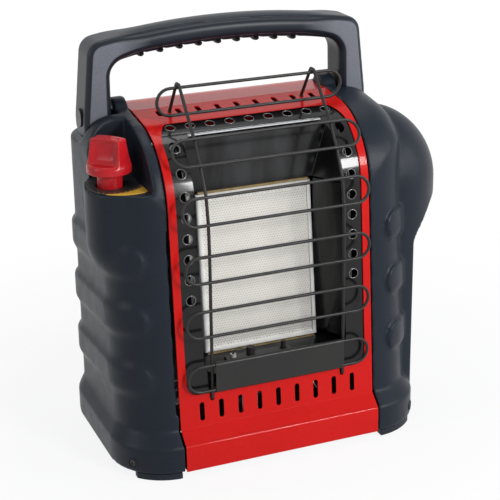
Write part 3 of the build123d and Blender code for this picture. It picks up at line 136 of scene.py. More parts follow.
def addFloor():
    # the paper round the feet keeps the shadow, and further off it fades into the white
    sheet = {"size": 14, "drop": 0.5 * mm, "shade": 0.86, "glow": 1.02,
             "near": 0.22, "far": 0.62, "nearShare": 0.86, "farShare": 1.0}
    bpy.ops.mesh.primitive_plane_add(size=sheet["size"], location=(0, 0, -sheet["drop"]))
    floor = bpy.context.object
    floor.name = "floor"
    paper = bpy.data.materials.new("whitePaper")
    paper.use_nodes = True
    tree = paper.node_tree
    tree.nodes.clear()
    out = tree.nodes.new('ShaderNodeOutputMaterial')
    matte = tree.nodes.new('ShaderNodeBsdfDiffuse')
    matte.inputs['Color'].default_value = (sheet["shade"], sheet["shade"], sheet["shade"], 1)
    glow = tree.nodes.new('ShaderNodeEmission')
    glow.inputs['Color'].default_value = (1, 1, 1, 1)
    glow.inputs['Strength'].default_value = sheet["glow"]
    blend = tree.nodes.new('ShaderNodeMixShader')
    coord = tree.nodes.new('ShaderNodeTexCoord')
    reach = tree.nodes.new('ShaderNodeVectorMath')
    reach.operation = 'LENGTH'
    tree.links.new(coord.outputs['Object'], reach.inputs[0])
    fade = tree.nodes.new('ShaderNodeMapRange')
    fade.inputs['From Min'].default_value = sheet["near"]
    fade.inputs['From Max'].default_value = sheet["far"]
    fade.inputs['To Min'].default_value = sheet["nearShare"]
    fade.inputs['To Max'].default_value = sheet["farShare"]
    tree.links.new(reach.outputs['Value'], fade.inputs['Value'])
    shown = tree.nodes.new('ShaderNodeMath')
    shown.operation = 'MULTIPLY'
    tree.links.new(seenRays(tree), shown.inputs[0])
    tree.links.new(fade.outputs['Result'], shown.inputs[1])
    tree.links.new(shown.outputs[0], blend.inputs['Fac'])
    tree.links.new(matte.outputs[0], blend.inputs[1])
    tree.links.new(glow.outputs[0], blend.inputs[2])
    tree.links.new(blend.outputs[0], out.inputs['Surface'])
    floor.data.materials.append(paper)


bpy.context.scene.view_settings.view_transform = 'Standard'
setCamera()
setLights()
setWorld()
addFloor()
print("camera, lamps and floor set")


# finishes

def newFinish(name):
    finish = bpy.data.materials.new(name)
    finish.use_nodes = True
    tree = finish.node_tree
    return finish, tree, tree.nodes["Principled BSDF"]


def ownPlace(tree, scale=(1, 1, 1)):
    # object coordinates through a mapping, so a pattern can be stretched
    coord = tree.nodes.new('ShaderNodeTexCoord')
    mapping = tree.nodes.new('ShaderNodeMapping')
    mapping.inputs['Scale'].default_value = scale
    tree.links.new(coord.outputs['Object'], mapping.inputs['Vector'])
    return mapping.outputs['Vector']


def noise(tree, place, scale, detail=3.0, rough=0.55):
    made = tree.nodes.new('ShaderNodeTexNoise')
    made.inputs['Scale'].default_value = scale
    made.inputs['Detail'].default_value = detail
    made.inputs['Roughness'].default_value = rough
    tree.links.new(place, made.inputs['Vector'])
    return made.outputs['Fac']


def ramp(tree, value, stops):
    made = tree.nodes.new('ShaderNodeValToRGB')
    bar = made.color_ramp
    while len(bar.elements) < len(stops):
        bar.elements.new(0.5)
    for element, (place, colour) in zip(bar.elements, stops):
        element.position = place
        element.color = (*colour, 1)
    tree.links.new(value, made.inputs['Fac'])
    return made.outputs['Color']


def grey(value):
    return (value, value, value)


def mixColour(tree, share, first, second, way='MIX'):
    made = tree.nodes.new('ShaderNodeMix')
    made.data_type = 'RGBA'
    made.blend_type = way
    for name, value in (("Factor", share), ("A", first), ("B", second)):
        socket = made.inputs[name]
        if isinstance(value, bpy.types.NodeSocket):
            tree.links.new(value, socket)
        elif isinstance(value, (int, float)):
            socket.default_value = value
        else:
            socket.default_value = (*value, 1)
    return made.outputs['Result']


def figure(tree, way, first, second=0.0):
    # one step of arithmetic on sockets or numbers
    made = tree.nodes.new('ShaderNodeMath')
    made.operation = way
    for socket, value in zip(made.inputs, (first, second)):
        if isinstance(value, bpy.types.NodeSocket):
            tree.links.new(value, socket)
        else:
            socket.default_value = value
    return made.outputs[0]


def square(tree, value):
    return figure(tree, 'MULTIPLY', value, value)


def reachOf(tree, first, second):
    # distance from the middle, of two coordinates
    return figure(tree, 'SQRT', figure(tree, 'ADD', square(tree, first), square(tree, second)))


def wrapped(tree, value):
    # place within a repeat of one unit
    return figure(tree, 'FLOORED_MODULO', value, 1.0)


def limits(low, high, below, above):
    # stops of a grey ramp: value `below` up to place `low`, and value `above` from place `high`
    return ((low, grey(below)), (high, grey(above)))


def glossRange(tree, shader, value, low, high, below, above):
    # roughness that follows a pattern between two values
    tree.links.new(ramp(tree, value, limits(low, high, below, above)), shader.inputs['Roughness'])


def bump(tree, shader, heights):
    # heights: pairs of a value and its depth in metres, stacked
    last = None
    for value, depth in heights:
        made = tree.nodes.new('ShaderNodeBump')
        made.inputs['Strength'].default_value = 1.0
        made.inputs['Distance'].default_value = depth
        tree.links.new(value, made.inputs['Height'])
        if last:
            tree.links.new(last, made.inputs['Normal'])
        last = made.outputs['Normal']
    tree.links.new(last, shader.inputs['Normal'])


def mouldedFinish(name, low, high, rough, grain, depth, shine=0.5):
    # plastic: two close shades in soft clouds, a fine grain and a slightly uneven gloss
    finish, tree, shader = newFinish(name)
    place = ownPlace(tree)
    cloud = noise(tree, place, 22, 4)
    speck = noise(tree, place, grain, 2)
    shade = mixColour(tree, cloud, low, high)
    shade = mixColour(tree, 0.05, shade, ramp(tree, speck, limits(0.35, 0.7, 0.0, 0.16)), 'ADD')
    tree.links.new(shade, shader.inputs['Base Color'])
    gloss = noise(tree, place, 60, 3)
    glossRange(tree, shader, gloss, 0.2, 0.8, *rough)
    shader.inputs['IOR'].default_value = 1.5
    shader.inputs['Specular IOR Level'].default_value = shine
    bump(tree, shader, ((speck, depth), (gloss, depth)))
    return finish


def enamelFinish(name, low, high, rough, coat, peel, shine, index=1.3):
    # sprayed and baked enamel with a faint orange peel
    finish, tree, shader = newFinish(name)
    place = ownPlace(tree)
    cloud = noise(tree, place, 9, 3)
    tree.links.new(mixColour(tree, cloud, low, high), shader.inputs['Base Color'])
    skin = noise(tree, place, 330, 1.5)
    smear = noise(tree, place, 35, 4)
    glossRange(tree, shader, smear, 0.25, 0.8, *rough)
    shader.inputs['Coat Weight'].default_value = coat
    shader.inputs['Coat Roughness'].default_value = 0.07
    shader.inputs['Coat IOR'].default_value = index
    shader.inputs['Specular IOR Level'].default_value = shine
    bump(tree, shader, ((skin, peel),))
    return finish


def sheetFinish(name, low, high, rough, metal=1.0, stretch=(18, 600, 18), stain=None, line=2.5e-5):
    # rolled or brushed sheet with fine lines one way and cloudy marks
    finish, tree, shader = newFinish(name)
    lines = noise(tree, ownPlace(tree, scale=stretch), 1.0, 2)
    cloud = noise(tree, ownPlace(tree), 30, 4)
    shade = mixColour(tree, cloud, low, high)
    if stain:
        marks = noise(tree, ownPlace(tree), 55, 5, 0.65)
        shade = mixColour(tree, ramp(tree, marks, limits(0.52, 0.7, 0.0, 0.7)), shade, stain)
    tree.links.new(shade, shader.inputs['Base Color'])
    shader.inputs['Metallic'].default_value = metal
    glossRange(tree, shader, lines, 0.25, 0.75, *rough)
    bump(tree, shader, ((lines, line),))
    return finish


def feltFinish(name, low, high):
    # mineral felt with its fibres along the strip
    finish, tree, shader = newFinish(name)
    fibre = noise(tree, ownPlace(tree, scale=(260, 700, 700)), 1.0, 4, 0.7)
    cloud = noise(tree, ownPlace(tree), 130, 4)
    tree.links.new(mixColour(tree, cloud, low, high), shader.inputs['Base Color'])
    glossRange(tree, shader, fibre, 0.2, 0.8, 0.75, 0.95)
    bump(tree, shader, ((fibre, 3e-4),))
    return finish


def handleFinish():
    # smooth dark moulding; where the legs face forwards and backwards they have a coarse grain and are
    # painted paler, as painted light
    finish, tree, shader = newFinish("handleMoulding")
    place = ownPlace(tree)
    cloud = noise(tree, place, 20, 3)
    fine = noise(tree, place, 2600, 1.5)
    coarse = noise(tree, place, 1500, 2, 0.7)
    coord = tree.nodes.new('ShaderNodeTexCoord')
    facing = tree.nodes.new('ShaderNodeSeparateXYZ')
    tree.links.new(coord.outputs['Normal'], facing.inputs[0])
    axes = tree.nodes.new('ShaderNodeSeparateXYZ')
    tree.links.new(place, axes.inputs[0])
    flat = ramp(tree, figure(tree, 'ABSOLUTE', facing.outputs['Y']), limits(0.955, 0.985, 0.0, 1.0))
    # from 72 to 104 mm away from the middle, in fifths of a metre
    away = figure(tree, 'ABSOLUTE', figure(tree, 'SUBTRACT', axes.outputs['X'], faceX))
    side = ramp(tree, figure(tree, 'MULTIPLY', away, 5.0), limits(0.36, 0.52, 0.0, 1.0))
    share = figure(tree, 'MULTIPLY', flat, side)
    dark = mixColour(tree, cloud, (0.008, 0.012, 0.019), (0.013, 0.018, 0.027))
    # the paler colour of the flat leg faces is painted light, laid over their coarse grain
    paintedLightGrain = mixColour(tree, coarse, (0.085, 0.093, 0.112), (0.235, 0.250, 0.285))
    tree.links.new(mixColour(tree, share, dark, paintedLightGrain), shader.inputs['Base Color'])
    tree.links.new(mixColour(tree, share, grey(0.36), grey(0.62)), shader.inputs['Roughness'])
    shader.inputs['Specular IOR Level'].default_value = 0.22
    bump(tree, shader, ((fine, 4e-5), (figure(tree, 'MULTIPLY', coarse, share), 2.2e-4)))
    return finish


def tileFinish():
    # fired tile: rows of fine burner holes, every other row shifted by half a pitch
    tile = {"pitch": 2.55 * mm, "row": 0.87, "hole": 0.29, "soft": (0.10, 0.04), "across": 50.6 * mm,
            "rise": 68.4 * mm, "lean": radians(6), "face": (faceX, -38 * mm, 165 * mm)}
    finish, tree, shader = newFinish("firedTile")
    coord = tree.nodes.new('ShaderNodeTexCoord')
    mapping = tree.nodes.new('ShaderNodeMapping')
    mapping.vector_type = 'TEXTURE'
    mapping.inputs['Location'].default_value = tile["face"]
    mapping.inputs['Rotation'].default_value = (-tile["lean"], 0, 0)
    tree.links.new(coord.outputs['Object'], mapping.inputs['Vector'])
    axes = tree.nodes.new('ShaderNodeSeparateXYZ')
    tree.links.new(mapping.outputs['Vector'], axes.inputs[0])
    across = figure(tree, 'DIVIDE', axes.outputs['X'], tile["pitch"])
    up = figure(tree, 'DIVIDE', axes.outputs['Z'], tile["pitch"] * tile["row"])
    odd = figure(tree, 'MULTIPLY', figure(tree, 'FLOORED_MODULO', figure(tree, 'FLOOR', up), 2.0), 0.5)
    inCell = figure(tree, 'SUBTRACT', wrapped(tree, figure(tree, 'ADD', across, odd)), 0.5)
    upCell = figure(tree, 'SUBTRACT', wrapped(tree, up), 0.5)
    inner, outer = tile["hole"] - tile["soft"][0], tile["hole"] + tile["soft"][1]
    hole = ramp(tree, reachOf(tree, inCell, upCell), limits(inner, outer, 1.0, 0.0))
    # the outermost band of the tile has no holes
    overX = figure(tree, 'GREATER_THAN', figure(tree, 'ABSOLUTE', axes.outputs['X']), tile["across"])
    overZ = figure(tree, 'GREATER_THAN', figure(tree, 'ABSOLUTE', axes.outputs['Z']), tile["rise"])
    inside = figure(tree, 'SUBTRACT', 1.0, figure(tree, 'MAXIMUM', overX, overZ))
    hole = figure(tree, 'MULTIPLY', hole, inside)
    cloud = noise(tree, ownPlace(tree), 70, 4, 0.6)
    grain = noise(tree, ownPlace(tree), 1400, 2)
    body = mixColour(tree, cloud, (0.84, 0.80, 0.735), (0.92, 0.895, 0.84))
    body = mixColour(tree, figure(tree, 'MULTIPLY', grain, 0.25), body, (0.92, 0.90, 0.86))
    # the holes are darkened as painted shade inside them
    shade = mixColour(tree, figure(tree, 'MULTIPLY', hole, 0.5), body, (0.50, 0.44, 0.37))
    tree.links.new(shade, shader.inputs['Base Color'])
    glossRange(tree, shader, grain, 0.2, 0.8, 0.72, 0.92)
    bump(tree, shader, ((grain, 6e-5), (figure(tree, 'SUBTRACT', 1.0, hole), 5e-4)))
    return finish


def glossySheetFinish():
    # dark glazed reflector sheet: nearly black, with long soft streaks down it
    finish, tree, shader = newFinish("darkReflector")
    streak = noise(tree, ownPlace(tree, scale=(46, 46, 5)), 1.0, 3)
    smear = noise(tree, ownPlace(tree), 26, 4, 0.6)
    share = ramp(tree, streak, limits(0.35, 0.7, 0.0, 1.0))
    shade = mixColour(tree, share, (0.007, 0.007, 0.0075), (0.042, 0.043, 0.045))
    tree.links.new(shade, shader.inputs['Base Color'])
    shader.inputs['Metallic'].default_value = 0.75
    glossRange(tree, shader, smear, 0.2, 0.8, 0.10, 0.26)
    shader.inputs['Coat Weight'].default_value = 0.3
    shader.inputs['Coat Roughness'].default_value = 0.1
    bump(tree, shader, ((smear, 6e-5), (streak, 5e-5)))
    return finish


def dialFinish():
    # yellow print round the knob with a dark inner ring and plain radial ticks
    dial = {"middle": (faceX - 129 * mm, -21.5 * mm), "inner": 29.5 * mm, "ticks": 36, "width": 0.12,
            "from": 3.4 * mm, "to": 1.2 * mm}
    finish, tree, shader = newFinish("dialPrint")
    coord = tree.nodes.new('ShaderNodeTexCoord')
    mapping = tree.nodes.new('ShaderNodeMapping')
    mapping.inputs['Location'].default_value = (-dial["middle"][0], -dial["middle"][1], 0)
    tree.links.new(coord.outputs['Object'], mapping.inputs['Vector'])
    axes = tree.nodes.new('ShaderNodeSeparateXYZ')
    tree.links.new(mapping.outputs['Vector'], axes.inputs[0])
    reach = reachOf(tree, axes.outputs['X'], axes.outputs['Y'])
    angle = figure(tree, 'ARCTAN2', axes.outputs['Y'], axes.outputs['X'])
    turns = wrapped(tree, figure(tree, 'MULTIPLY', angle, dial["ticks"] / 2 / pi))
    tick = figure(tree, 'LESS_THAN', turns, dial["width"])
    beyond = figure(tree, 'GREATER_THAN', reach, dial["inner"] - dial["from"])
    within = figure(tree, 'LESS_THAN', reach, dial["inner"] - dial["to"])
    tick = figure(tree, 'MULTIPLY', tick, figure(tree, 'MULTIPLY', beyond, within))
    dark = figure(tree, 'LESS_THAN', reach, dial["inner"])
    cloud = noise(tree, ownPlace(tree), 90, 3)
    yellow = mixColour(tree, cloud, (0.60, 0.33, 0.03), (0.74, 0.46, 0.05))
    shade = mixColour(tree, dark, yellow, (0.022, 0.021, 0.020))
    shade = mixColour(tree, tick, shade, (0.62, 0.36, 0.08))
    tree.links.new(shade, shader.inputs['Base Color'])
    glossRange(tree, shader, cloud, 0.2, 0.8, 0.30, 0.48)
    bump(tree, shader, ((noise(tree, ownPlace(tree), 900, 2), 2e-5),))
    return finish


finishes = {
    "shell": mouldedFinish("slateMoulding", (0.0052, 0.0098, 0.0172), (0.0090, 0.0147, 0.0250),
                           (0.32, 0.44), 2100, 1.0e-4, 0.17),
    "handle": handleFinish(),
    "nub": mouldedFinish("gripNub", (0.004, 0.004, 0.005), (0.009, 0.009, 0.010), (0.45, 0.62), 1800,
                         5e-5, 0.25),
    "red": enamelFinish("redEnamel", (0.56, 0.007, 0.006), (0.63, 0.010, 0.008), (0.22, 0.32), 0.5,
                        1.2e-5, 0.06, 1.24),
    "knob": mouldedFinish("redKnob", (0.47, 0.006, 0.011), (0.55, 0.009, 0.015), (0.22, 0.32), 2400,
                          2e-5, 0.26),
    "dial": dialFinish(),
    "guard": enamelFinish("guardCoat", (0.010, 0.0095, 0.0095), (0.019, 0.018, 0.017), (0.36, 0.52),
                          0.1, 4e-5, 0.3),
    "bezel": enamelFinish("blackEnamel", (0.005, 0.005, 0.0055), (0.011, 0.011, 0.0115), (0.18, 0.32),
                          0.9, 6e-5, 0.1, 1.3),
    # ring edges: paler than the black enamel, as a painted glint on the hole rims
    "ring": enamelFinish("ringEdgePaintedGlint", (0.05, 0.05, 0.052), (0.12, 0.12, 0.122), (0.08, 0.16), 1.0,
                         1.2e-5, 0.9),
    "reflector": glossySheetFinish(),
    "tile": tileFinish(),
    "rim": mouldedFinish("firedRim", (0.86, 0.85, 0.82), (0.94, 0.93, 0.91), (0.55, 0.75), 1500, 8e-5),
    "felt": feltFinish("mineralFelt", (0.055, 0.036, 0.014), (0.46, 0.34, 0.15)),
    "zinc": sheetFinish("zincPlate", (0.46, 0.47, 0.49), (0.60, 0.61, 0.62), (0.28, 0.46)),
    "blackSteel": sheetFinish("blackenedSteel", (0.045, 0.046, 0.050), (0.085, 0.086, 0.092),
                              (0.30, 0.46), 0.9),
    "sooty": sheetFinish("sootySteel", (0.030, 0.029, 0.028), (0.075, 0.070, 0.064), (0.40, 0.60), 0.8),
    "spring": sheetFinish("springSteel", (0.40, 0.41, 0.43), (0.55, 0.56, 0.58), (0.22, 0.36), 1.0,
                          (400, 400, 60)),
    "brass": sheetFinish("turnedBrass", (0.58, 0.36, 0.12), (0.72, 0.50, 0.20), (0.18, 0.34), 1.0,
                         (40, 40, 900), (0.33, 0.20, 0.08)),
    "tube": sheetFinish("drawnTube", (0.58, 0.58, 0.60), (0.72, 0.72, 0.73), (0.22, 0.38), 1.0,
                        (30, 30, 300)),
    "copper": sheetFinish("drawnCopper", (0.55, 0.24, 0.13), (0.70, 0.36, 0.22), (0.24, 0.40), 1.0,
                          (30, 30, 300)),
    "alloy": sheetFinish("castAlloy", (0.50, 0.51, 0.53), (0.64, 0.65, 0.66), (0.38, 0.58), 1.0,
                         (260, 260, 260), None, 1.2e-4),
    "sleeve": mouldedFinish("leadSleeve", (0.62, 0.58, 0.50), (0.74, 0.70, 0.62), (0.50, 0.66), 1900, 5e-5),
    "black": mouldedFinish("blackMoulding", (0.014, 0.014, 0.016), (0.024, 0.024, 0.026), (0.32, 0.48),
                           2200, 4e-5),
    "glaze": mouldedFinish("glazedBody", (0.40, 0.38, 0.35), (0.52, 0.50, 0.46), (0.12, 0.22), 1200, 1e-5),
    "rubber": mouldedFinish("footRubber", (0.0070, 0.0110, 0.0180), (0.0110, 0.0165, 0.0250),
                            (0.45, 0.60), 1500, 1.1e-4, 0.2),
    "bright": sheetFinish("brightEdge", (0.60, 0.61, 0.63), (0.78, 0.79, 0.80), (0.16, 0.30), 1.0,
                          (14, 500, 500)),
}

nodeFinishes = {
    "shell": ("left_side_panel", "right_side_panel"),
    "handle": ("handle_front", "handle_back"),
    "nub": ("handle_nubs",),
    "red": ("front_panel", "back_panel"),
    "knob": ("knob",),
    "dial": ("dial_plate",),
    "guard": ("guard_loops", "guard_uprights", "guard_plate"),
    "bezel": ("window_bezel",),
    "reflector": ("hood_plate", "left_reflector", "right_reflector", "lower_tray"),
    "tile": ("burner_tile",),
    "rim": ("tile_frame",),
    "felt": ("edge_gaskets", "tile_gasket"),
    "blackSteel": ("chassis", "base_plate", "pilot_bracket"),
    "zinc": ("burner_box", "box_standoffs", "mixer_tube", "jet_holder", "valve_saddle", "tip_switch_frame",
             "tip_pin", "tip_pendulum", "case_screws"),
    "sooty": ("thermocouple", "spark_electrode", "pilot_burner"),
    "spring": ("valve_spring", "regulator_spring"),
    "brass": ("burner_jet", "gas_valve", "valve_stem", "inlet_bush", "pipe_nut"),
    "tube": ("burner_pipe", "gas_tube", "pilot_tube", "supply_elbow"),
    "copper": ("thermocouple_lead",),
    "sleeve": ("igniter_lead",),
    "alloy": ("regulator_body", "regulator_cover"),
    "black": ("push_collar", "igniter", "igniter_plunger", "handle_pins"),
    "glaze": ("electrode_insulator",),
    "rubber": ("rubber_feet", "diaphragm", "inlet_seal"),
}
for finishName, nodeNames in nodeFinishes.items():
    for nodeName in nodeNames:
        slots = frame["nodes"][nodeName].data.materials
        slots.clear()
        slots.append(finishes[finishName])
print("finishes made and laid on the part")


# modelling helpers

def activate(piece):
    bpy.ops.object.select_all(action='DESELECT')
    piece.select_set(True)
    bpy.context.view_layer.objects.active = piece


def nodeCopy(nodeName, pieceName):
    # a free copy of a node's mesh with its loose triangles merged
    piece = bpy.data.objects.new(pieceName, frame["nodes"][nodeName].data.copy())
    bpy.context.scene.collection.objects.link(piece)
    activate(piece)
    bpy.ops.object.mode_set(mode='EDIT')
    bpy.ops.mesh.select_all(action='SELECT')
    bpy.ops.mesh.remove_doubles(threshold=0.002 * mm)
    bpy.ops.object.mode_set(mode='OBJECT')
    if piece.data.attributes.get("custom_normal"):
        bpy.ops.mesh.customdata_custom_splitnormals_clear()
    return piece


def shapeWith(piece, kind, **settings):
    # a modifier that is applied at once
    activate(piece)
    modifier = piece.modifiers.new(kind.lower(), kind)
    for name, value in settings.items():
        setattr(modifier, name, value)
    bpy.ops.object.modifier_apply(modifier=modifier.name)


def roundEdges(piece, offset, segments, wanted):
    # edit mode, edges chosen by a test on their two ends
    activate(piece)
    bpy.ops.object.mode_set(mode='EDIT')
    bpy.ops.mesh.select_mode(type='EDGE')
    bpy.ops.mesh.select_all(action='DESELECT')
    mesh = bmesh.from_edit_mesh(piece.data)
    for edge in mesh.edges:
        if wanted(edge.verts[0].co, edge.verts[1].co):
            edge.select_set(True)
    bmesh.update_edit_mesh(piece.data)
    bpy.ops.mesh.bevel(offset=offset * mm, segments=segments, affect='EDGES')
    bpy.ops.object.mode_set(mode='OBJECT')


def melt(piece, rounds, **settings):
    shapeWith(piece, 'SMOOTH', factor=0.5, iterations=rounds, **settings)


def bakePlace(piece):
    activate(piece)
    bpy.ops.object.transform_apply(location=True, rotation=True, scale=True)


def newBlock(size, middle=(0, 0, 0)):
    # a block whose size and middle are given in millimetres
    bpy.ops.object.select_all(action='DESELECT')
    bpy.ops.mesh.primitive_cube_add(size=1, location=Vector(middle) * mm)
    block = bpy.context.object
    block.scale = Vector(size) * mm
    bakePlace(block)
    return block


def divide(piece, cuts):
    activate(piece)
    bpy.ops.object.mode_set(mode='EDIT')
    bpy.ops.mesh.select_all(action='SELECT')
    bpy.ops.mesh.subdivide(number_cuts=cuts)
    bpy.ops.object.mode_set(mode='OBJECT')


def newRing(radius, wire, middle, turn, steps):
    bpy.ops.object.select_all(action='DESELECT')
    bpy.ops.mesh.primitive_torus_add(
        major_radius=radius * mm, minor_radius=wire * mm, major_segments=steps, minor_segments=8,
        location=middle, rotation=turn)
    ring = bpy.context.object
    bakePlace(ring)
    return ring


def smooth(piece, angle=35):
    activate(piece)
    bpy.ops.object.shade_smooth_by_angle(angle=radians(angle))


def settle(piece, body, finishName, slotName, *replaced):
    # finish, moving body, slot (not used), and the nodes that the piece stands for
    piece.data.materials.clear()
    piece.data.materials.append(finishes[finishName])
    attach(piece, body)
    if replaced:
        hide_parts(*replaced)


def joinAll(pieces, name):
    bpy.ops.object.select_all(action='DESELECT')
    for piece in pieces:
        piece.select_set(True)
    bpy.context.view_layer.objects.active = pieces[0]
    if len(pieces) > 1:
        bpy.ops.object.join()
    whole = bpy.context.object
    whole.name = name
    whole.data.name = name
    return whole


def spot(x, y, z):
    # a point given in millimetres from the middle of the red panels
    return Vector((faceX + x * mm, y * mm, z * mm))


# moulded side panels: edges melted a little, as they leave the mould

def makeShells():
    shell = {"voxel": 1.75 * mm, "ribs": (55.0, 225.0), "corner": (-35.0, -70.0), "fade": 34}
    low, high = shell["ribs"]
    back, front = shell["corner"]
    sides = (("left_side_panel", "leftShell", 5), ("right_side_panel", "rightShell", 3))
    for nodeName, pieceName, rounds in sides:
        piece = nodeCopy(nodeName, pieceName)
        shapeWith(piece, 'REMESH', mode='VOXEL', voxel_size=shell["voxel"])
        melt(piece, rounds)
        if pieceName == "leftShell":
            # these ribs fade out where they turn the corner to the front, the others end in crisp ovals
            fading = piece.vertex_groups.new(name="fading")
            for vertex in piece.data.vertices:
                y, z = vertex.co.y / mm, vertex.co.z / mm
                if low < z < high and y < back:
                    fading.add([vertex.index], min(1.0, (back - y) / (back - front)), 'REPLACE')
            melt(piece, shell["fade"], vertex_group="fading")
        bpy.ops.object.shade_smooth()
        settle(piece, "housing", "shell", "shell_plastic", nodeName)
        print(pieceName, len(piece.data.polygons), "faces")


makeShells()


# carrying handle: flat legs, and a grip that is rolled round

def makeHandle():
    hand = {
        "voxel": 1.1 * mm, "melt": 9,
        "pivot": 39.0, "depth": 18.0, "seam": 0.4,  # middle, half of its depth, reach of the seam
        "crest": (381.0, 12.5, 129.5),              # top of the grip, its fall, and how far out that is
        "under": (358.0, 8.5, 110.3),               # the same along its underside
        "flat": 112.0, "round": 74.0,               # reach of the legs' flats and of the round grip
        "power": 2.3, "thin": 0.93,                 # squareness of the grip and how much of its depth stays
        "above": 330,                               # only what is higher than this is rolled
    }
    power, deep, pivot = hand["power"], hand["depth"], hand["pivot"]
    halves = [nodeCopy("handle_front", "carryingHandle"), nodeCopy("handle_back", "backHalf")]
    for half, way in zip(halves, (1, -1)):
        # the halves are pushed a little into each other, so that they melt into one
        for vertex in half.data.vertices:
            if abs(vertex.co.y / mm - pivot) < hand["seam"]:
                vertex.co.y = (pivot + way) * mm
    piece = joinAll(halves, "carryingHandle")
    shapeWith(piece, 'REMESH', mode='VOXEL', voxel_size=hand["voxel"])
    for vertex in piece.data.vertices:
        x = abs(vertex.co.x - faceX) / mm
        share = min(1.0, max(0.0, (hand["flat"] - x) / (hand["flat"] - hand["round"])))
        z = vertex.co.z / mm
        if share == 0 or z < hand["above"]:
            continue
        share = share * share * (3 - 2 * share)
        top = hand["crest"][0] - hand["crest"][1] * (x / hand["crest"][2]) ** 2
        low = hand["under"][0] - hand["under"][1] * (x / hand["under"][2]) ** 2
        middle, half = (top + low) / 2, (top - low) / 2
        up, back = (z - middle) / half, (vertex.co.y / mm - pivot) / deep
        spread = (abs(up) ** power + abs(back) ** power) ** (1 / power)
        ring = 1 - share + share * (max(abs(up), abs(back)) / max(1e-6, spread))
        vertex.co.z = (middle + half * up * ring) * mm
        vertex.co.y = (pivot + deep * back * ring * (1 - share * (1 - hand["thin"]))) * mm
    melt(piece, hand["melt"])
    bpy.ops.object.shade_smooth()
    settle(piece, "handle", "handle", "handle_plastic", "handle_front", "handle_back")
    print("handle", len(piece.data.polygons), "faces")


makeHandle()


# nubs: soft drops under the grip

def makeNubs():
    nub = {"count": 9, "pitch": 18.3, "shift": -6.0, "middle": 38.5, "under": (358.3, 8.5, 110.3),
           "size": (3.1, 8.5, 3.3), "square": 0.18, "blunt": (2.7, 0.4), "soft": 3}
    keel, squash = nub["blunt"]
    made = []
    for index in range(nub["count"]):
        x = (index - (nub["count"] - 1) / 2) * nub["pitch"] + nub["shift"]
        z = nub["under"][0] - nub["under"][1] * (x / nub["under"][2]) ** 2
        bpy.ops.object.select_all(action='DESELECT')
        bpy.ops.mesh.primitive_uv_sphere_add(segments=32, ring_count=18, radius=1, location=(0, 0, 0))
        drop = bpy.context.object
        drop.scale = [size * mm for size in nub["size"]]
        bakePlace(drop)
        for vertex in drop.data.vertices:
            # squarer across the grip and blunt below, like a short rib
            vertex.co.y *= 1 + nub["square"] * (1 - min(1, abs(vertex.co.z) / (nub["size"][2] * mm)))
            if vertex.co.z < -keel * mm:
                vertex.co.z = -keel * mm - (abs(vertex.co.z) - keel * mm) * squash
        drop.location = spot(x, nub["middle"], z)
        bakePlace(drop)
        made.append(drop)
    piece = joinAll(made, "gripNubs")
    melt(piece, nub["soft"])
    bpy.ops.object.shade_smooth()
    settle(piece, "handle", "nub", "grip_rubber", "handle_nubs")
    print("nubs", len(made))


makeNubs()


# red control knob: round flange, neck and a waisted grip, fused and melted together

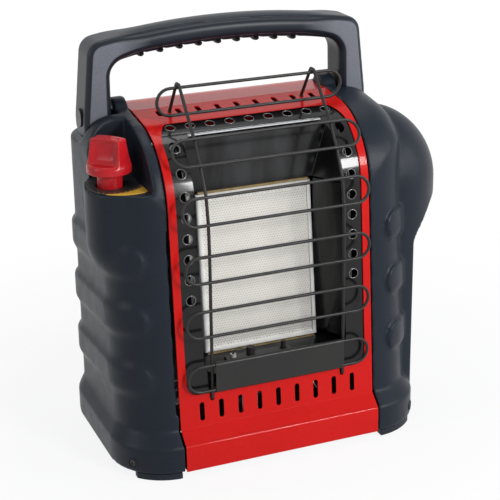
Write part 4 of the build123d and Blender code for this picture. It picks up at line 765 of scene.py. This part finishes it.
def makeKnob():
    knob = {
        "x": -131, "y": -27, "turn": radians(-47),
        "neck": (11.0, 249.2, 272.0),          # radius, low and high z
        "flange": (19.6, 269.5, 278.1),
        "grip": (32.0, 20.0, 274.0, 300.0),    # length, thickness, low and high z
        "cuts": 13,
        "taper": (0.88, 0.66),                 # share of the length and thickness that is left at the crest
        "flare": (0.10, 0.50), "flareTop": 0.4,
        "reach": 18.6, "bow": 1.3,
        "hollow": (2.9, 1.25, 0.56, 2.5),      # depth, shortness, height of its middle and lowness
        "broad": (0.8, 0.4),                   # what counts as a broad face at the foot, and its fall
        "shoulder": (3.2, 6), "sole": (1.0, 3), "near": 0.1,
        "stem": (4.3, 30.0, 250.0),            # radius, length and middle z of its socket
        "pointer": (9.0, 1.6, 0.8), "out": 7.0, "sink": 0.25, "edge": 0.35,
        "voxel": 0.62 * mm, "melt": 24,
    }
    turn = Matrix.Rotation(knob["turn"], 4, 'Z')
    blanks = []
    for radius, low, high in (knob["neck"], knob["flange"]):
        bpy.ops.object.select_all(action='DESELECT')
        bpy.ops.mesh.primitive_cylinder_add(
            vertices=96, radius=radius * mm, depth=(high - low) * mm,
            location=spot(knob["x"], knob["y"], (low + high) / 2))
        blank = bpy.context.object
        bakePlace(blank)
        if radius == knob["flange"][0]:
            # well rounded above and a little below
            top, foot = (high - knob["near"]) * mm, (low + knob["near"]) * mm
            roundEdges(blank, *knob["shoulder"], lambda a, b: a.z > top and b.z > top)
            roundEdges(blank, *knob["sole"], lambda a, b: a.z < foot and b.z < foot)
        blanks.append(blank)
    length, thick, low, high = knob["grip"]
    depth, short, centre, shallow = knob["hollow"]
    broad, fall = knob["broad"]
    grip = newBlock((length, thick, high - low))
    divide(grip, knob["cuts"])
    half, side, rise = length / 2 * mm, thick / 2 * mm, (high - low) * mm
    for vertex in grip.data.vertices:
        up = vertex.co.z / rise + 0.5
        # the crest is shorter and thinner, and bowed
        vertex.co.x *= 1 - (1 - knob["taper"][0]) * up
        vertex.co.y *= 1 - (1 - knob["taper"][1]) * up
        foot = max(0.0, 1 - up / knob["flareTop"]) ** 2
        vertex.co.x *= 1 + knob["flare"][0] * foot
        vertex.co.y *= 1 + knob["flare"][1] * foot
        away = Vector((vertex.co.x, vertex.co.y)).length
        if away > knob["reach"] * mm:
            vertex.co.x *= knob["reach"] * mm / away
            vertex.co.y *= knob["reach"] * mm / away
        along = vertex.co.x / half
        vertex.co.z -= knob["bow"] * mm * along * along * up
        # finger hollows in the two broad faces
        if abs(vertex.co.y) > side * (1 - fall * up) * broad:
            dent = max(0.0, 1 - (along * short) ** 6) * max(0.0, 1 - ((up - centre) * shallow) ** 4)
            vertex.co.y -= depth * mm * dent * (1 if vertex.co.y > 0 else -1)
    grip.matrix_world = Matrix.Translation(spot(knob["x"], knob["y"], (low + high) / 2)) @ turn
    bakePlace(grip)
    blanks.append(grip)
    piece = joinAll(blanks, "controlKnob")
    shapeWith(piece, 'REMESH', mode='VOXEL', voxel_size=knob["voxel"])
    melt(piece, knob["melt"])
    # socket for the stem
    radius, length, middle = knob["stem"]
    bpy.ops.object.select_all(action='DESELECT')
    bpy.ops.mesh.primitive_cylinder_add(
        vertices=48, radius=radius * mm, depth=length * mm, location=spot(knob["x"], knob["y"], middle))
    socket = bpy.context.object
    shapeWith(piece, 'BOOLEAN', operation='DIFFERENCE', object=socket, solver='EXACT')
    bpy.data.objects.remove(socket)
    smooth(piece, 50)
    settle(piece, "control_knob", "knob", "knob_plastic", "knob")
    # moulded pointer rib on the crest
    pointer = newBlock(knob["pointer"])
    pointer.name = "knobPointer"
    shapeWith(pointer, 'BEVEL', width=knob["edge"] * mm, segments=3)
    crest = Matrix.Translation(spot(knob["x"], knob["y"], high - knob["sink"]))
    pointer.matrix_world = crest @ turn @ Matrix.Translation((knob["out"] * mm, 0, -knob["sink"] * mm))
    bakePlace(pointer)
    smooth(pointer)
    settle(pointer, "control_knob", "knob", "knob_plastic")
    print("knob", len(piece.data.polygons), "faces")


makeKnob()


# sheet and cast pieces: sharp edges get a small round that catches the light

bodyOf = {node: body for body, nodes in frame["record"]["behaviour"]["bodies"].items() for node in nodes}


def softenEdges():
    edge = {"flat": radians(0.4), "sharp": radians(38)}
    # skirt of the front: where its fold lies, how far to look, and how wide it is bent
    fold = {"y": -97.8 * mm, "z": 30 * mm, "near": 0.4 * mm, "long": 20 * mm, "width": 1.7, "steps": 5}

    def onFold(first, second):
        if abs(first.x - second.x) < fold["long"]:
            return False
        return all(end.y < fold["y"] and abs(end.z - fold["z"]) < fold["near"] for end in (first, second))

    # node, width of the round, its segments, finish and slot of each piece
    soft = {
        "frontPanel": ("front_panel", 0.42, 3, "red", "red_enamel"),
        "backPanel": ("back_panel", 0.42, 3, "red", "red_enamel"),
        "windowBezel": ("window_bezel", 0.25, 2, "bezel", "bezel_steel"),
        "hoodPlate": ("hood_plate", 0.28, 2, "reflector", "reflector_steel"),
        "leftReflector": ("left_reflector", 0.28, 2, "reflector", "reflector_steel"),
        "rightReflector": ("right_reflector", 0.28, 2, "reflector", "reflector_steel"),
        "lowerTray": ("lower_tray", 0.28, 2, "reflector", "reflector_steel"),
        "guardPlate": ("guard_plate", 0.25, 2, "guard", "guard_paint"),
        "dialPlate": ("dial_plate", 0.2, 2, "dial", "dial_print"),
        "basePlate": ("base_plate", 0.3, 2, "blackSteel", "plated_steel"),
        "backChassis": ("chassis", 0.3, 2, "blackSteel", "plated_steel"),
        "burnerCase": ("burner_box", 0.4, 3, "zinc", "plated_steel"),
        "valveSaddle": ("valve_saddle", 0.3, 2, "zinc", "plated_steel"),
        "switchFrame": ("tip_switch_frame", 0.3, 2, "zinc", "plated_steel"),
        "feet": ("rubber_feet", 0.7, 3, "rubber", "rubber"),
        "pivotCaps": ("handle_pins", 0.45, 3, "black", "plated_steel"),
        "valveBody": ("gas_valve", 0.4, 2, "brass", "brass"),
        "supplyNut": ("pipe_nut", 0.4, 2, "brass", "brass"),
        "inletBush": ("inlet_bush", 0.4, 2, "brass", "brass"),
        "regulatorCasting": ("regulator_body", 0.6, 3, "alloy", "regulator_alloy"),
        "regulatorLid": ("regulator_cover", 0.6, 3, "alloy", "regulator_alloy"),
    }
    for pieceName, (nodeName, width, steps, finishName, slotName) in soft.items():
        piece = nodeCopy(nodeName, pieceName)
        if nodeName == "front_panel":
            roundEdges(piece, fold["width"], fold["steps"], onFold)
        # flat faces become whole before their edges are rounded
        shapeWith(piece, 'DECIMATE', decimate_type='DISSOLVE', angle_limit=edge["flat"])
        shapeWith(piece, 'BEVEL', width=width * mm, segments=steps, limit_method='ANGLE',
                  angle_limit=edge["sharp"], use_clamp_overlap=False)
        bpy.ops.object.shade_smooth()
        shapeWith(piece, 'WEIGHTED_NORMAL', mode='FACE_AREA', weight=100)
        settle(piece, bodyOf[nodeName], finishName, slotName, nodeName)
        print(pieceName, len(piece.data.polygons), "faces")


softenEdges()


# guard: wires melted together where they are welded

def makeGuard():
    guard = {"voxel": 0.55 * mm, "melt": 5}
    wires = [nodeCopy("guard_loops", "guardWires"), nodeCopy("guard_uprights", "guardUprightWires")]
    piece = joinAll(wires, "guardWires")
    shapeWith(piece, 'REMESH', mode='VOXEL', voxel_size=guard["voxel"])
    melt(piece, guard["melt"])
    bpy.ops.object.shade_smooth()
    settle(piece, "housing", "guard", "guard_paint", "guard_loops", "guard_uprights")
    print("guard", len(piece.data.polygons), "faces")


makeGuard()


# bezel: a drawn ring round every hole, in a paler finish that is a painted glint

def makeBezelRings():
    ring = {"side": 78.0, "low": 159.0, "step": 18.4, "rows": 8, "crownY": -22.0, "across": 9,
            "radius": 4.35, "wire": 0.5, "reach": 6.0, "near": 12.0, "proud": 0.1,
            "ahead": -200, "above": 400}
    bezel = frame["nodes"]["window_bezel"].data
    corners = [vertex.co for vertex in bezel.vertices]
    skin = BVHTree.FromPolygons(corners, [face.vertices for face in bezel.polygons])
    right, back, up = Vector((1, 0, 0)), Vector((0, 1, 0)), Vector((0, 0, 1))
    places = []
    for row in range(ring["rows"]):
        z = ring["low"] + row * ring["step"]
        for x in (-ring["side"], ring["side"]):
            places.append((spot(x, ring["ahead"], z), back, right, up))
    for column in range(ring["across"]):
        x = (column - (ring["across"] - 1) / 2) * ring["step"]
        places.append((spot(x, ring["crownY"], ring["above"]), -up, right, back))
    rings = []
    for start, way, first, second in places:
        # the sheet is felt on four sides of the hole, which gives the ring its place and its tilt
        found = []
        for side in (first, -first, second, -second):
            hit, normal = skin.ray_cast(start + side * ring["reach"] * mm, way)[:2]
            if hit and (not found or (hit - found[0][0]).length < ring["near"] * mm):
                found.append((hit, normal if normal.dot(way) < 0 else -normal))
        if len(found) < 3:
            continue
        facing = sum((normal for hit, normal in found), Vector()).normalized()
        middle = sum((hit for hit, normal in found), Vector()) / len(found)
        middle = start + way * (middle - start).dot(way) + facing * ring["proud"] * mm
        turn = facing.to_track_quat('Z', 'Y').to_euler()
        rings.append(newRing(ring["radius"], ring["wire"], middle, turn, 32))
    piece = joinAll(rings, "bezelRings")
    smooth(piece, 60)
    settle(piece, "housing", "ring", "bezel_steel")
    print("bezel rings", len(rings))


makeBezelRings()


# hood lip: the bright folded edge of the hood plate, bowed a little

def makeHoodLip():
    lip = {"size": (125.0, 1.6, 2.3), "middle": (-1.5, -39.9, 296.6), "cuts": 9, "bow": 0.15, "edge": 0.6}
    piece = newBlock(lip["size"])
    piece.name = "hoodLip"
    divide(piece, lip["cuts"])
    for vertex in piece.data.vertices:
        along = vertex.co.x / (lip["size"][0] * mm) * 2
        vertex.co.z -= lip["bow"] * mm * along ** 2
    shapeWith(piece, 'BEVEL', width=lip["edge"] * mm, segments=3, limit_method='ANGLE',
              angle_limit=radians(50), use_clamp_overlap=False)
    piece.location = spot(*lip["middle"])
    bakePlace(piece)
    smooth(piece)
    settle(piece, "housing", "bright", "reflector_steel")
    print("hood lip made")


makeHoodLip()


# screws: a domed head with a cross recess, pointing up from the floor until it is placed

def crossHead(name, radius, dome, slot):
    # length of the cross in radii of the head, its depth and its middle in heights of the dome
    cross = {"long": 1.3, "deep": 1.1, "middle": 0.85}
    bpy.ops.object.select_all(action='DESELECT')
    bpy.ops.mesh.primitive_uv_sphere_add(segments=32, ring_count=16, radius=radius * mm, location=(0, 0, 0))
    head = bpy.context.object
    head.name = name
    head.scale = (1, 1, dome)
    bakePlace(head)
    high, reach = radius * dome, radius * cross["long"]
    for long, wide in ((reach, slot), (slot, reach)):
        tool = newBlock((long, wide, high * cross["deep"]), (0, 0, high * cross["middle"]))
        shapeWith(head, 'BOOLEAN', operation='DIFFERENCE', object=tool, solver='EXACT')
        bpy.data.objects.remove(tool)
    smooth(head, 30)
    return head


def makeSkirtScrews():
    # one at each corner of the foot: middle of the corner's round, its radius, and the way it faces
    screw = {"corner": (97.0, 46.0), "round": 52.0, "height": 15.0, "turn": radians(38),
             "head": (3.1, 0.36, 0.8), "recess": (4.6, 0.55)}
    across, deep = screw["corner"]
    rims, heads = [], []
    for side in (-1, 1):
        for end in (-1, 1):
            out = Vector((side * cos(screw["turn"]), end * sin(screw["turn"]), 0))
            middle = spot(side * across, end * deep, screw["height"]) + out * screw["round"] * mm
            turn = out.to_track_quat('Z', 'Y').to_euler()
            rims.append(newRing(*screw["recess"], middle, turn, 36))
            head = crossHead("skirtScrew", *screw["head"])
            head.location = middle
            head.rotation_euler = turn
            bakePlace(head)
            heads.append(head)
    recesses = joinAll(rims, "skirtRecesses")
    smooth(recesses, 60)
    settle(recesses, "housing", "shell", "shell_plastic")
    settle(joinAll(heads, "skirtScrews"), "housing", "sooty", "plated_steel")
    print("skirt screws", len(heads))


makeSkirtScrews()


def makeCaseScrews():
    screw = {
        "across": 87.4, "rows": (60.0, 160.0, 250.0),
        "rear": (95.5, 3.0, 6.0, 301.0),       # y of the back at its foot, its lean, its foot and its height
        "head": (3.6, 0.5, 0.9), "shank": (1.5, 9.0), "proud": 0.2,
    }
    low, lean, foot, rise = screw["rear"]
    radius, length = screw["shank"]
    made = []
    for row in screw["rows"]:
        y = low - lean * (row - foot) / rise
        for side in (-1, 1):
            head = crossHead("caseScrew", *screw["head"])
            bpy.ops.object.select_all(action='DESELECT')
            bpy.ops.mesh.primitive_cylinder_add(
                vertices=24, radius=radius * mm, depth=length * mm, location=(0, 0, -length / 2 * mm))
            shank = bpy.context.object
            bakePlace(shank)
            whole = joinAll([head, shank], "caseScrew")
            whole.rotation_euler = (radians(-90), 0, 0)
            whole.location = spot(side * screw["across"], y + screw["proud"], row)
            bakePlace(whole)
            made.append(whole)
    piece = joinAll(made, "caseScrews")
    settle(piece, "housing", "zinc", "plated_steel", "case_screws")
    print("case screws", len(made))


makeCaseScrews()


# thread of the gas inlet: a fine helical ridge round the bore

def makeThread():
    thread = {
        "x": 135.0, "low": 194.5, "radius": 12.45, "ridge": 0.45,
        "pitch": 1.27, "turns": 9, "steps": 56,
    }
    bpy.ops.object.select_all(action='DESELECT')
    bpy.ops.mesh.primitive_circle_add(
        vertices=6, radius=thread["ridge"] * mm, fill_type='NOTHING', location=(thread["radius"] * mm, 0, 0),
        rotation=(radians(90), 0, 0))
    piece = bpy.context.object
    piece.name = "inletThread"
    bakePlace(piece)
    bpy.context.scene.cursor.location = (0, 0, 0)
    bpy.ops.object.origin_set(type='ORIGIN_CURSOR')
    shapeWith(piece, 'SCREW', axis='Z', angle=2 * pi, screw_offset=thread["pitch"] * mm,
              iterations=thread["turns"], steps=thread["steps"], render_steps=thread["steps"])
    piece.location = spot(thread["x"], 0, thread["low"])
    bakePlace(piece)
    bpy.ops.object.mode_set(mode='EDIT')
    bpy.ops.mesh.select_all(action='SELECT')
    bpy.ops.mesh.remove_doubles(threshold=0.004 * mm)
    bpy.ops.mesh.normals_make_consistent(inside=False)
    bpy.ops.object.mode_set(mode='OBJECT')
    smooth(piece, 50)
    settle(piece, "regulator", "brass", "brass")
    print("inlet thread", len(piece.data.polygons), "faces")


makeThread()


# rim of the tile: flat lip kept narrow, its outer edges sloped away

def makeTileRim():
    rim = {"lean": radians(6), "middle": (-38.0, 165.0), "half": (55.5, 73.5), "front": 1.3, "slope": 2.7,
           "pitch": 3.2, "tooth": (1.1, 0.5, 2.6), "edge": 0.2, "inset": (9, 5.8), "proud": 0.1,
           "near": 0.12, "off": 0.1}
    across, rise = rim["half"]
    piece = nodeCopy("tile_frame", "tileRim")
    turn = Matrix.Rotation(rim["lean"], 4, 'X')
    centre = spot(0, *rim["middle"])

    def onOuterFront(first, second):
        for point in (first, second):
            # the point measured in the tile's own plane: across, outwards, up
            place = turn @ (point - centre) / mm
            if place.y > -rim["front"] + rim["near"]:
                return False
            if abs(place.x) < across - rim["off"] and abs(place.z) < rise - rim["off"]:
                return False
        return True

    roundEdges(piece, rim["slope"], 3, onOuterFront)
    smooth(piece, 30)
    settle(piece, "housing", "rim", "frame_ceramic", "tile_frame")
    # row of little teeth along the upper and lower edge of the burner holes
    teeth = []
    count = int((across - rim["inset"][0]) / rim["pitch"])
    for row in (1, -1):
        for index in range(-count, count + 1):
            tooth = newBlock(rim["tooth"])
            shapeWith(tooth, 'BEVEL', width=rim["edge"] * mm, segments=2)
            place = Vector((index * rim["pitch"], -rim["proud"], row * (rise - rim["inset"][1]))) * mm
            tooth.matrix_world = Matrix.Translation(centre) @ turn.inverted() @ Matrix.Translation(place)
            bakePlace(tooth)
            teeth.append(tooth)
    whole = joinAll(teeth, "tileTeeth")
    smooth(whole, 40)
    settle(whole, "housing", "rim", "frame_ceramic")
    print("tile rim", len(teeth), "teeth")


makeTileRim()


# valve spring: a smoothed copy that moves with its node's body

def makeSpring():
    spring = {"travel": 6.0, "angle": 40}
    piece = nodeCopy("valve_spring", "valveSpring")
    smooth(piece, spring["angle"])
    settle(piece, bodyOf["valve_spring"], "spring", "spring_steel", "valve_spring")
    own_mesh(piece)
    print("valve spring", len(piece.data.polygons), "faces")


makeSpring()


# close

print("all pieces made")
